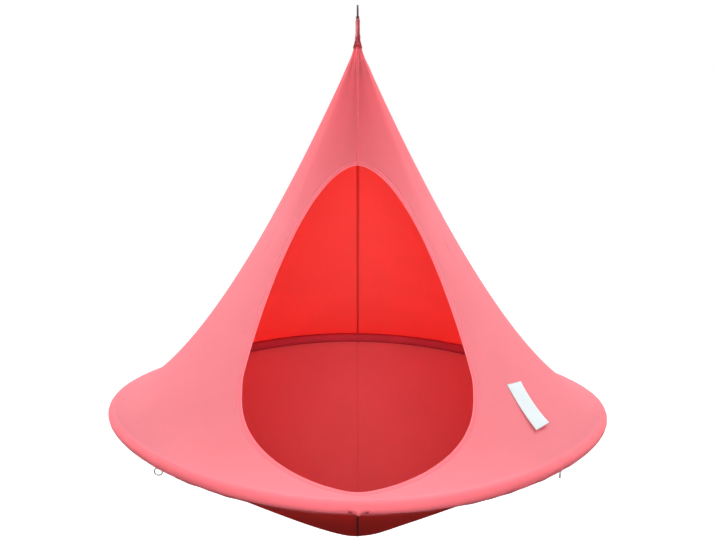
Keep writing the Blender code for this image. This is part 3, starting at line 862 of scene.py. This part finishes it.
def metal_material(name, colour, roughness, grain):
    """Metal with a fine grain, small scratches and slightly uneven polish."""
    made, tree, shader, spot = new_material(name)
    patches = noise(tree, spot, 60.0, 4.0)
    scratches = noise(tree, spot, grain, 2.0, 0.7)
    polish = weighed(tree, patches, 0.5, scratches)
    fill(tree, shader, Base_Color=colour_range(tree, patches, colour, 0.85, 1.1), Metallic=1.0,
         Roughness=number_range(tree, polish, roughness * 0.7, roughness * 1.4),
         Normal=bump(tree, scratches, 0.00004))
    return made


def make_materials():
    """Every finish by its name."""
    inside = (0.95, 0.10, 0.08)
    floor = (0.98, 0.10, 0.08)
    made = {
        # The canopy's crown colour is painted shade: darker towards the top of the cone
        "canopy": cloth_material("canopy_cloth", (1.0, 0.358, 0.418), (1.0, 0.22, 0.22), 0.50, sheen=0.03,
                                 crown=(0.91, 0.184, 0.227), doubled=(0.96, 0.174, 0.209)),
        # Painted shade: the inside face of the same cloth gets a darker colour than its outside
        "canopy_inside_shaded": cloth_material("canopy_cloth_inside_shaded", (0.76, 0.218, 0.200), inside, 0.65),
        "floor": cloth_material("floor_cloth", (0.94, 0.212, 0.236), floor, 0.30, creases=0.002),
        # Painted shade: the floor's underside is the same cloth given a darker colour than its top
        "floor_under_shaded": cloth_material("floor_cloth_under_shaded", (0.53, 0.032, 0.024), floor, 0.30,
                                      creases=0.002),
        "floor_tape": cloth_material("floor_tape_cloth", (0.90, 0.198, 0.226), floor, 0.30,
                                     creases=0.0004),
        "tape": cloth_material("tape_cloth", (0.80, 0.08, 0.07), (1.0, 0.10, 0.08), 0.45, creases=0.0004),
        "label": cloth_material("label_cloth", (0.60, 0.655, 0.67), pitch=0.0006, weave=0.00006,
                                creases=0.0004, mottle=0.02),
        "webbing": webbing_material("webbing", (0.58, 0.088, 0.106)),
        "anchor_webbing": webbing_material("anchor_webbing", (0.60, 0.10, 0.12), rib=0.0010),
        # Painted reflection: the steel's reddish tint stands for the pink cloth reflected in it
        "steel": metal_material("steel", (0.10, 0.07, 0.075), 0.60, 800.0),
        "bright_steel": metal_material("bright_steel", (0.38, 0.355, 0.34), 0.34, 900.0),
        "aluminium": metal_material("aluminium", (0.76, 0.77, 0.79), 0.34, 500.0),
    }
    for name, colour, creases in OPAQUE_CLOTHS:
        made[name] = cloth_material(f"{name}_cloth", colour, creases=creases)
    for name, colour in THREADS:
        made[name] = thread_material(name, colour)
    return made


# Pieces of cloth

def canopy(finishes):
    """The cone, wrapped round the rim, with its doorway."""
    lengths, azimuths, rises, faces = canopy_net()
    made = shell("canopy", CANOPY, lengths, azimuths, faces, CANOPY_CLOTH,
                 [finishes["canopy"], finishes["canopy_inside_shaded"]], cut_uv(lengths, azimuths), rises)
    on_sleeve = 1 - smooth_fall(lengths, CANOPY_EDGE_LENGTH - 0.004, CANOPY_EDGE_LENGTH + 0.008)
    doubled = np.where(rises > 0, 1.0, on_sleeve)
    made.data.attributes.new("doubled", "FLOAT", "POINT").data.foreach_set("value", np.tile(doubled, 2))
    return made


def floor_cloth(finishes):
    """The sagging floor from its point to under the rim."""
    rows = stretches(0.0015, (0.02, 0.004), (FLOOR_EDGE_LENGTH - 0.03, 0.012), (FLOOR.end(), 0.003))
    lengths, azimuths, faces = rings_net(rows)
    faces = [tuple(reversed(face)) for face in faces]
    faces.append(tuple(range(COLUMNS)))
    uv = np.stack([lengths * np.sin(azimuths), lengths * np.cos(azimuths)], -1)
    return shell("floor", FLOOR, lengths, azimuths, faces, FLOOR_CLOTH,
                 [finishes["floor_under_shaded"], finishes["floor"]], uv)


def rim_sleeve(finishes):
    """The sleeve that the hoop runs in."""
    lengths, azimuths, faces = rings_net(stretches(0, (SLEEVE.end(), 0.003)))
    uv = np.stack([azimuths * HOOP_RADIUS, lengths], -1)
    return shell("rim_sleeve", SLEEVE, lengths, azimuths, faces, TAPE_CLOTH, [finishes["sleeve"]] * 2, uv)


def door_hem(finishes):
    """The cloth's edge turned in: a round fold, and the allowance behind the cloth."""
    door = Doorway(HEM_PLACES)
    near = -ON_CANOPY
    far = near - HEM_ALLOWANCE
    top = CANOPY_CLOTH / 2 + hem_rise(0.0)
    middle, half = (top + far) / 2, (top - far) / 2
    section = [(0.0004, top + 0.0001)]
    for turn in np.radians([120, 150, 180, 210, 240]):
        section.append((HEM_FOLD * math.cos(turn) + 0.0002, middle + half * math.sin(turn)))
    section += [(0.0010, far), (HEM_WIDTH, far), (HEM_WIDTH + 0.0004, near), (0.0006, near),
                (0.0003, near + 0.0002)]
    loops = np.stack([door.points(off, rise) for off, rise in section], 1)
    return sweep("door_hem_cloth", loops, finishes["hem"], cyclic=True, woven=True)


def seam_tape(name, skin, azimuth, start, end, widths, near, finish):
    """A doubled strip down one meridian of a skin; it lies inside where near is below nought."""
    lengths = np.array(stretches(start, (end, 0.012)))
    width = np.interp(lengths, [start, end], widths)
    across = [-0.5, -0.3, 0, 0.3, 0.5]
    thickness = math.copysign(TAPE_CLOTH, near)
    far = [(share, near + thickness * off) for share, off in zip(across, [0.5, 1, 1, 1, 0.5])]
    close = [(share, near) for share in reversed(across)]
    loops = []
    for share, off in far + close:
        loops.append(skin.at(lengths, azimuth + share * width / skin.radius(lengths), off))
    return sweep(name, np.stack(loops, 1), finish, woven=True)


def crown_patch(finishes):
    """The reinforcement sewn inside the peak."""
    rows = stretches(CROWN_LENGTH + PATCH_START, (CROWN_LENGTH + PATCH_END, 0.004))
    lengths, azimuths, faces = rings_net(rows, CROWN_COLUMNS)
    mean_radius = 0.05
    uv = np.stack([azimuths * mean_radius, lengths], -1)
    smooth = Skin(CANOPY.radii, CANOPY.heights, canopy_pull, no_relief, 1)
    return shell("crown_patch_cloth", smooth, lengths, azimuths, faces, TAPE_CLOTH,
                 [finishes["patch"]] * 2, uv, rise=-PATCH_DEPTH)


def stitches(name, starts, ends, normals, finish):
    """Short raised threads from each start to its end."""
    side = unit(np.cross(unit(ends - starts), normals))
    points = []
    for share, size, rise in ((0, 0.25, -0.4), (0.25, 1, 0.5), (0.75, 1, 0.5), (1, 0.25, -0.4)):
        spot = starts * (1 - share) + ends * share + normals * THREAD_RADIUS * rise
        for u, v in ((1, 0), (0, 1), (-1, 0), (0, -1)):
            points.append(spot + (side * u + normals * v) * THREAD_RADIUS * size)
    points = np.stack(points, 1)
    count, corners = points.shape[:2]
    one = tube_faces(4, 4)
    faces = [tuple(corner + stitch * corners for corner in face)
             for stitch in range(count) for face in one]
    return solid(name, points.reshape(-1, 3), faces, finish)


def stitched_line(name, skin, lengths, azimuths, off, finish):
    """Stitches a pitch apart along a line of places on a skin."""
    run = run_along(skin.at(lengths, azimuths, off))
    spots = np.arange(0, run[-1] - STITCH_PITCH, STITCH_PITCH)
    places = []
    for share in (0.12, 0.5, 0.88):
        reached = spots + STITCH_PITCH * share
        places.append((np.interp(reached, run, lengths), np.interp(reached, run, azimuths)))
    start, middle, end = places
    normals = skin.normal(*middle) * (1 if off >= 0 else -1)
    return stitches(name, skin.at(*start, off), skin.at(*end, off), normals, finish)


def door_stitches(finishes):
    """The line of stitches that holds the door hem, in its groove."""
    places = Doorway(STITCH_PLACES).off(HEM_WIDTH)
    length, azimuth = [np.append(values, values[0]) for values in places]
    off = CANOPY_CLOTH / 2 + hem_rise(HEM_WIDTH)
    return stitched_line("door_stitches", CANOPY, length, azimuth, off, finishes["thread"])


def felled_seam(name, skin, azimuth, start, end, width, off, cloth, finishes):
    """A seam felled to the outside of a skin, and its two rows of stitches."""
    made = [seam_tape(name, skin, azimuth, start, end, (width, width), off, finishes[cloth])]
    lengths = np.arange(start + 0.004, end - 0.004, 0.002)
    for side, word in ((-1, "left"), (1, "right")):
        across = azimuth + side * width * STITCH_ROW / skin.radius(lengths)
        made.append(stitched_line(f"{name}_stitches_{word}", skin, lengths, across, off + TAPE_CLOTH,
                                  finishes[f"{cloth}_thread"]))
    return made


def canopy_seams(finishes):
    """The canopy's seams, down its front to the doorway and down its back to under the rim."""
    start = CROWN_LENGTH + SEAM_START
    made = []
    for name, azimuth, end in (("front_seam", 0.0, DOOR_TOP_LENGTH - 0.001),
                               ("back_seam", math.pi, CANOPY.end() - 0.002)):
        made += felled_seam(name, CANOPY, azimuth, start, end, SEAM_WIDTH, CANOPY_CLOTH / 2 + SEAM_GAP,
                            "seam", finishes)
    return made


def floor_seams(finishes):
    """The floor's seams, from its point forwards and backwards to under the rim."""
    made = []
    for name, azimuth in (("floor_front_seam", 0.0), ("floor_back_seam", math.pi)):
        made += felled_seam(name, FLOOR, azimuth, FLOOR_SEAM_START, FLOOR_EDGE_LENGTH + 0.004,
                            FLOOR_SEAM_WIDTH, FLOOR_CLOTH / 2 + SEAM_GAP, "dark_seam", finishes)
    return made


def crown_tack(finishes):
    """The bar of close stitches that locks the front seam below the strap."""
    return seam_tape("crown_tack", CANOPY, 0.0, CROWN_LENGTH + TACK_START, CROWN_LENGTH + TACK_END,
                     (0.010, 0.011), ON_CANOPY, finishes["tape"])


def label(finishes):
    """A cloth label sewn on by its upper edge, its lower end curling off the cloth."""
    rows, columns = 37, 17
    down = np.linspace(0, 1, rows)[:, None]
    across = np.linspace(-0.5, 0.5, columns)[None, :]
    top = length_at(CANOPY, LABEL_TOP_RADIUS)
    length = top + down * LABEL_LENGTH + LABEL_TILT * (across - 0.1) * (1 - down)
    middle = LABEL_AZIMUTH - LABEL_SLANT * down * LABEL_LENGTH / LABEL_TOP_RADIUS
    waist = 1.08 - 0.08 * down - 0.05 * np.sin(math.pi * down) * (across > 0)
    azimuth = middle + across * waist * LABEL_WIDTH / CANOPY.radius(length)
    curl = LABEL_LIFT * down ** 2 * (1 + 0.5 * across)
    ripple = 0.0012 * np.sin(9 * down) * np.sin(math.pi * (across + 0.5))
    rise = CANOPY_CLOTH / 2 + LABEL_GAP + LABEL_CLOTH / 2 + np.maximum(curl + ripple, 0)
    uv = np.stack(np.broadcast_arrays(down * LABEL_LENGTH, (across + 0.5) * LABEL_WIDTH), -1)
    return shell("bare_label", CANOPY, length.ravel(), azimuth.ravel(), grid_faces(rows, columns, False),
                 LABEL_CLOTH, [finishes["label"]] * 2, uv.reshape(-1, 2), rise.ravel())


# Strap, rings and anchors

def round_section(width, thickness, sides=5):
    """A flat strip's outline with round edges, as pairs of across and up."""
    radius = thickness / 2
    middle = width / 2 - radius
    section = []
    for side, start in ((1, -90), (-1, 90)):
        for i in range(sides):
            turn = math.radians(start + 180 * i / (sides - 1))
            section.append((side * middle + radius * math.cos(turn), radius * math.sin(turn)))
    return section


def ribbon(name, path, across, width, thickness, finish):
    """Webbing along a path, its width along one direction."""
    path = np.asarray(path)
    up = unit(np.cross(unit(np.gradient(path, axis=0)), across))
    loops = [path + np.asarray(across) * u + up * v for u, v in round_section(width, thickness)]
    return sweep(name, np.stack(loops, 1), finish)


def smooth_path(points, steps):
    """A smooth curve through points."""
    points = np.asarray(points, float)
    run = run_along(points)
    dense = np.linspace(0, run[-1], steps)
    slopes = np.gradient(points, run, axis=0)
    spots = np.clip(np.searchsorted(run, dense, side="right") - 1, 0, len(points) - 2)
    span = (run[spots + 1] - run[spots])[:, None]
    share = (dense - run[spots])[:, None] / span
    here, there = points[spots], points[spots + 1]
    leave, arrive = slopes[spots] * span, slopes[spots + 1] * span
    return ((2 * share ** 3 - 3 * share ** 2 + 1) * here + (share ** 3 - 2 * share ** 2 + share) * leave
            + (3 * share ** 2 - 2 * share ** 3) * there + (share ** 3 - share ** 2) * arrive)


def strap_outline():
    """Outer and inner curves of the strap's +X leg, seen along Y, from its end to over the bar."""
    low, mid = [CANOPY.at(length, math.pi / 2, ON_CANOPY)[[0, 2]]
                for length in (length_at(CANOPY, STRAP_END_RADIUS), CROWN_LENGTH)]
    outwards = (WEBBING, 0.001)
    split = -STRAP_SPLIT_DROP
    bar = -RING_BAR_DROP
    reach = RING_WIRE / 2 + 0.0003
    inner = [low, mid, (0.0022, split - 0.009), (0.0002, split), (0.0002, split + 0.012),
             (0.0002, bar - 0.0068), (0.0018, bar - 0.0042), (reach, bar)]
    outer = [low + outwards, mid + outwards, (0.0062, split - 0.009), (0.0038, split),
             (0.0037, split + 0.012), (0.0038, bar - 0.012), (0.0044, bar - 0.006),
             (reach + WEBBING, bar)]
    for curve, radius in ((inner, reach), (outer, reach + WEBBING)):
        for turn in np.linspace(0, math.pi / 2, 9)[1:]:
            curve.append((radius * math.cos(turn), bar + radius * math.sin(turn)))
    return np.array(outer), np.array(inner)


def hanging_strap(finishes):
    """Webbing folded over the ring's bar, doubled and sewn to a block below it, its legs on the crown."""
    edges = []
    for curve in strap_outline():
        half = smooth_path(np.column_stack([curve[:, 0], 0 * curve[:, 0], curve[:, 1]]), 70)
        edges.append(np.concatenate([half, (half * (-1, 1, 1))[-2::-1]]))
    outer, inner = edges
    doubling = (np.linalg.norm(outer - inner, axis=1) - WEBBING) / WEBBING
    groove = np.clip(doubling, 0, 1) * STRAP_GROOVE
    section = [(0.0, 0.0006), (0.14, 0.0001), (0.36, 0.0001), (0.5, groove), (0.64, 0.0001),
               (0.86, 0.0001), (1.0, 0.0006)]
    sides = [(share, inset, 1) for share, inset in section]
    sides += [(share, inset, -1) for share, inset in reversed(section)]
    down = np.clip((-RING_BAR_DROP - outer[:, 2]) / (STRAP_SPLIT_DROP - RING_BAR_DROP + 0.02), 0, 1)
    twist = STRAP_TWIST * (smooth_fall(down, 0.75, 1.0) - smooth_fall(down, 0.0, 0.2))
    loops = []
    for share, inset, side in sides:
        x, _, z = (outer * (1 - share) + inner * share).T
        y = side * (STRAP_WIDTH / 2 - inset)
        loops.append(np.stack([x * np.cos(twist) - y * np.sin(twist),
                               x * np.sin(twist) + y * np.cos(twist), z], -1))
    return sweep("hanging_strap_webbing", np.stack(loops, 1), finishes["webbing"])


def wire(name, path, normal, radius, sides, finish):
    """Round wire along a closed flat path."""
    out = np.cross(unit(np.roll(path, -1, 0) - np.roll(path, 1, 0)), normal)
    up = np.asarray(normal)
    turns = np.arange(sides) * math.tau / sides
    loops = [path + (out * math.cos(turn) + up * math.sin(turn)) * radius for turn in turns]
    return sweep(name, np.stack(loops, 1), finish, cyclic=True)


def arc(middle, radius, start, end, steps, right, up):
    """Points along an arc in the plane of two directions."""
    turns = np.linspace(start, end, steps + 1)[:, None]
    return middle + right * radius * np.cos(turns) + up * radius * np.sin(turns)


def hanging_ring(finishes):
    """A D of round steel: a straight bar in the strap's fold and an arch above."""
    radius = RING_WIRE / 2
    half = RING_INNER_WIDTH / 2 + radius
    right = np.array([0, 1.0, 0])
    low = UP * (RING_CORNER - RING_BAR_DROP)
    side = right * (half - RING_CORNER)
    path = np.concatenate([
        arc(UP * (radius - half), half, 0, math.pi, 48, right, UP),
        arc(low - side, RING_CORNER, math.pi, 1.5 * math.pi, 10, right, UP),
        arc(low + side, RING_CORNER, 1.5 * math.pi, math.tau, 10, right, UP),
    ])
    return wire("hanging_ring_wire", path, (1, 0, 0), radius, 20, finishes["steel"])


def anchor_joints():
    """The joints that the anchor rings swing on, by their number."""
    return {joint["name"].rsplit("_", 1)[1]: joint for joint in frame["joints"]
            if joint["name"].startswith("anchor_swing")}


def anchor_ring(number, hinge, along, finishes):
    """The steel ring that hangs from an anchor's hinge."""
    radius = ANCHOR_WIRE / 2
    mean = ANCHOR_RING_DIAMETER / 2 - radius
    path = arc(hinge - UP * mean, mean, 0, math.tau, 64, along, UP)[:-1]
    return wire(f"anchor_ring_wire_{number}", path, np.cross(UP, along), radius, 16,
                finishes["bright_steel"])


def anchor_tape(number, hinge, along, finishes):
    """The tape loop under the rim that holds an anchor's ring."""
    side = np.cross(UP, along)
    fold = ANCHOR_WIRE / 2 + ANCHOR_ROOM + ANCHOR_TAPE / 2
    top = UP * ANCHOR_TOP
    straight = UP * ANCHOR_STRAIGHT
    path = [hinge + side * fold * 0.7 + top, hinge + side * fold + straight,
            *arc(hinge, fold, 0, -math.pi, 12, side, UP),
            hinge - side * fold + straight, hinge - side * fold * 0.7 + top]
    return ribbon(f"anchor_tape_{number}", smooth_path(path, 40), along, ANCHOR_TAB_WIDTH, ANCHOR_TAPE,
                  finishes["anchor_webbing"])


def anchors(finishes):
    """A tape loop under the rim with a steel ring in it, at each anchor joint."""
    for number, joint in anchor_joints().items():
        hinge = np.array(joint["pos_m"])
        along = unit(np.array(joint["axis"], float))
        dress(anchor_ring(number, hinge, along, finishes), "steel", f"anchor_ring_{number}",
              body=f"anchor_{number}")
        dress(anchor_tape(number, hinge, along, finishes), "webbing", f"anchor_tab_{number}")


def leaf_spring(number, finishes):
    """The folded leaf under a spring button: its seat in the hoop, its end under the button."""
    half = SPRING_LENGTH / 2
    azimuth = (number - 0.5) * math.tau / HOOP_SECTIONS + BUTTON_FROM_JOINT / HOOP_RADIUS
    spots = azimuth + np.array([-half, 0, half]) / HOOP_RADIUS
    near, middle, far = place(HOOP_RADIUS, rim_height(spots) - HOOP_SAG, spots)
    along = unit(far - near)
    across = unit(np.cross(UP, along))
    up = np.cross(along, across)
    seat, top = middle + up * SPRING_SEAT, middle + up * SPRING_TOP
    fold = (SPRING_TOP - SPRING_SEAT) / 6
    bend = arc(seat + along * (half - fold) + up * fold, fold, -math.pi / 2, math.pi / 2, 10, along, up)
    path = [seat - along * half, seat, *bend, top + along * 2 * BUTTON_SHOULDER,
            top - along * BUTTON_DIAMETER / 2]
    leaf = ribbon(f"leaf_spring_{number}", smooth_path(path, 70), across, SPRING_WIDTH, SPRING_THICKNESS,
                  finishes["bright_steel"])
    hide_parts(f"hoop_spring_{number}")
    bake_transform(leaf)


def rim_seam(finishes):
    """The allowances of canopy and floor sewn together under the rim, cut back at the anchor rings."""
    turns = np.arange(720) * math.tau / 720
    depth = ALLOWANCE_DEPTH + 0.0006 * np.sin(37 * turns) + 0.0004 * np.sin(83 * turns + 1)
    for joint in anchor_joints().values():
        away = np.linalg.norm(place(HOOP_RADIUS, 0, turns)[:, :2] - joint["pos_m"][:2], axis=1)
        depth += (ALLOWANCE_CUT - depth) * smooth_fall(away, CUT_START, CUT_END)
    lean = 0.0008 * np.sin(29 * turns + 0.7)
    top = rim_height(turns) - FLOOR_ROLL_RADIUS + 0.0004
    section = [(-0.0011, 0), (-0.0012, 0.5), (-0.0009, 1), (0.0009, 1), (0.0012, 0.5), (0.0011, 0)]
    loops = [place(HOOP_RADIUS + out + lean * share, top - depth * share, turns)
             for out, share in section]
    # Its dark finish is painted shade under the rim roll
    return sweep("rim_seam", np.stack(loops, 1), finishes["allowance"], cyclic=True, woven=True)


# Studio

def studio_floor():
    """A pale floor well under the tent, white to the camera except in the tent's shadow."""
    made, tree, shader, spot = new_material("studio_floor")
    away = node(tree, "ShaderNodeVectorMath", operation="LENGTH", Vector=spot).outputs["Value"]
    glow = number_range(tree, away, 0.84, 1.0, From_Min=2.6, From_Max=6.0)
    fill(tree, shader, Base_Color=colour_range(tree, noise(tree, spot, 40.0), WHITE[:3], 0.33, 0.37),
         Roughness=0.9, Emission_Color=WHITE, Emission_Strength=glow)
    dull = node(tree, "ShaderNodeBsdfDiffuse", Color=(0.05, 0.05, 0.05, 1)).outputs[0]
    clear = node(tree, "ShaderNodeBsdfTransparent").outputs[0]
    to_camera = node(tree, "ShaderNodeLightPath").outputs["Is Camera Ray"]
    from_below = node(tree, "ShaderNodeNewGeometry").outputs["Backfacing"]
    seen = mix_shaders(tree, to_camera, dull, shader.outputs[0])
    fill(tree, tree.nodes["Material Output"], Surface=mix_shaders(tree, from_below, seen, clear))
    corners = [(x * STUDIO_REACH, y * STUDIO_REACH, STUDIO_FLOOR)
               for x, y in ((-1, -1), (1, -1), (1, 1), (-1, 1))]
    make_object("studio_floor", corners, [(0, 1, 2, 3)], [made])


def studio_world():
    """Soft light that comes mostly from above, and white behind the tent."""
    world = bpy.data.worlds.new("studio")
    world.use_nodes = True
    bpy.context.scene.world = world
    tree = world.node_tree
    way = node(tree, "ShaderNodeTexCoord").outputs["Generated"]
    rise = math_node(tree, "MAXIMUM", node(tree, "ShaderNodeSeparateXYZ", Vector=way).outputs["Z"], 0.0)
    overhead = math_node(tree, "MULTIPLY", math_node(tree, "POWER", rise, 2.0), SKY_STRENGTH)
    light = math_node(tree, "ADD", overhead, FILL_STRENGTH)
    lit = fill(tree, tree.nodes["Background"], Color=WHITE, Strength=light).outputs[0]
    white = node(tree, "ShaderNodeBackground", Color=WHITE, Strength=1.0).outputs[0]
    ray = node(tree, "ShaderNodeLightPath").outputs
    clear = math_node(tree, "SUBTRACT", ray["Is Transmission Ray"], ray["Is Diffuse Ray"])
    seen = math_node(tree, "MAXIMUM", ray["Is Camera Ray"], ray["Is Glossy Ray"])
    seen = math_node(tree, "MAXIMUM", seen, clear)
    fill(tree, tree.nodes["World Output"], Surface=mix_shaders(tree, seen, lit, white))


def softbox(name, location, target, size, power):
    """A square area light aimed at a point, not itself in the picture."""
    data = bpy.data.lights.new(name, "AREA")
    data.shape = "RECTANGLE"
    data.size, data.size_y = size
    data.energy = power
    made = bpy.data.objects.new(name, data)
    made.location = location
    made.rotation_euler = (Vector(target) - Vector(location)).to_track_quat("-Z", "Y").to_euler()
    made.visible_camera = False
    bpy.context.scene.collection.objects.link(made)


def studio_lights():
    """A weak softbox by the camera, two strong ones high up behind, and two low ones beside."""
    softbox("softbox_front", (0, -2.2, -0.45), (0, 0, -0.85), (1.6, 2.0), 45)
    for side, name in ((-1, "left"), (1, "right")):
        for level, location, power in (("high", (1.96 * side, 1.00, 1.3), 104),
                                       ("low", (3.55 * side, 0.63, -1.2), 60)):
            softbox(f"softbox_{level}_{name}", location, (0, 0, -0.9), (1.6, 1.6), power)


def camera():
    """The camera that the photograph was taken with, solved from the ellipse of the rim."""
    data = bpy.data.cameras.new("camera")
    data.lens = CAMERA_LENS
    data.sensor_width = 36.0
    made = bpy.data.objects.new("camera", data)
    made.location = CAMERA_PLACE
    made.rotation_euler = (math.radians(90 - CAMERA_DIP), 0, 0)
    bpy.context.scene.collection.objects.link(made)
    bpy.context.scene.camera = made


# The whole scene

def dress(piece, slot, *nodes, body="tent"):
    """Places a finished piece in the frame."""
    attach(piece, body)
    if nodes:
        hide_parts(*nodes)
    return piece


def inner_tapes(finishes):
    """The tapes on the canopy's seams inside, behind the doorway and above it."""
    start = CROWN_LENGTH + TAPE_START
    back = seam_tape("seam_tape_back_cloth", CANOPY, math.pi, start, CANOPY_EDGE_LENGTH - 0.04,
                     (0.010, 0.005), -ON_CANOPY, finishes["tape"])
    front = seam_tape("seam_tape_front_cloth", CANOPY, 0.0, start, DOOR_TOP_LENGTH - 0.016,
                      (0.008, 0.008), -ON_CANOPY, finishes["front_tape"])
    return [dress(back, "hem_and_tape", "seam_tape_back"),
            dress(front, "hem_and_tape", "seam_tape_front")]


def floor_tapes(finishes):
    """The tape on the floor's seam, in two lengths that meet at its point."""
    made = []
    for side, azimuth in (("front", 0.0), ("back", math.pi)):
        tape = seam_tape(f"seam_tape_floor_{side}", FLOOR, azimuth, FLOOR_SEAM_START,
                         FLOOR_EDGE_LENGTH - 0.001, (0.004, 0.010), -FLOOR_CLOTH / 2 - CLOTH_GAP,
                         finishes["floor_tape"])
        made.append(dress(tape, "hem_and_tape", "seam_tape_floor"))
    return made


def cloth_pieces(finishes):
    """The canopy, floor, sleeve, tapes and their stitching."""
    cone = dress(canopy(finishes), "canopy_cloth", "canopy_left", "canopy_right")
    base = dress(floor_cloth(finishes), "floor_cloth", "floor_left", "floor_right")
    sleeve = dress(rim_sleeve(finishes), "canopy_cloth", "rim_sleeve_left", "rim_sleeve_right")
    sewn = [
        dress(door_hem(finishes), "hem_and_tape", "door_hem"),
        dress(door_stitches(finishes), "hem_and_tape"),
        dress(crown_patch(finishes), "webbing", "crown_patch"),
        *inner_tapes(finishes),
        dress(crown_tack(finishes), "hem_and_tape"),
        *[dress(piece, "hem_and_tape") for piece in canopy_seams(finishes)],
    ]
    sewn_below = [
        *floor_tapes(finishes),
        dress(rim_seam(finishes), "hem_and_tape"),
        *[dress(piece, "hem_and_tape") for piece in floor_seams(finishes)],
    ]
    half_turn = math.pi * HOOP_RADIUS / CANOPY_EDGE_LENGTH
    2 * CANOPY.end() * math.sin(half_turn / 2)
    2 * CANOPY.end()
    cloth_area(CANOPY) - door_area()
    2 * FLOOR.end()
    2 * FLOOR.end()
    cloth_area(FLOOR)
    SLEEVE.end()


def cloth_area(skin):
    """The area of a whole cloth, as if it had no opening."""
    lengths = np.linspace(0, skin.end(), 2000)
    return float(np.trapz(math.tau * skin.radius(lengths), lengths))


def door_area():
    """The area of the doorway, seen from the front."""
    wide, height = door_curve()
    return float(abs(np.trapz(2 * wide, height)))


def trimmings(finishes):
    """The strap, the ring, the anchors and the label."""
    strap = dress(hanging_strap(finishes), "webbing", "hanging_strap")
    dress(hanging_ring(finishes), "steel", "hanging_ring", body="ring")
    anchors(finishes)
    tag = dress(label(finishes), "label_cloth", "label")


def dress_metal(finishes):
    """The hoop's own nodes keep their shape and get their finish."""
    for name, part in frame["nodes"].items():
        if name.startswith("hoop_section"):
            finish = finishes["aluminium"]
        elif name.startswith("hoop_"):
            finish = finishes["bright_steel"]
        else:
            continue
        for spot in part.material_slots:
            spot.material = finish


def main():
    bpy.context.scene.view_settings.view_transform = "Standard"
    camera()
    studio_floor()
    studio_world()
    studio_lights()
    finishes = make_materials()
    cloth_pieces(finishes)
    trimmings(finishes)
    for number in range(1, HOOP_SECTIONS + 1):
        leaf_spring(number, finishes)
    dress_metal(finishes)


main()
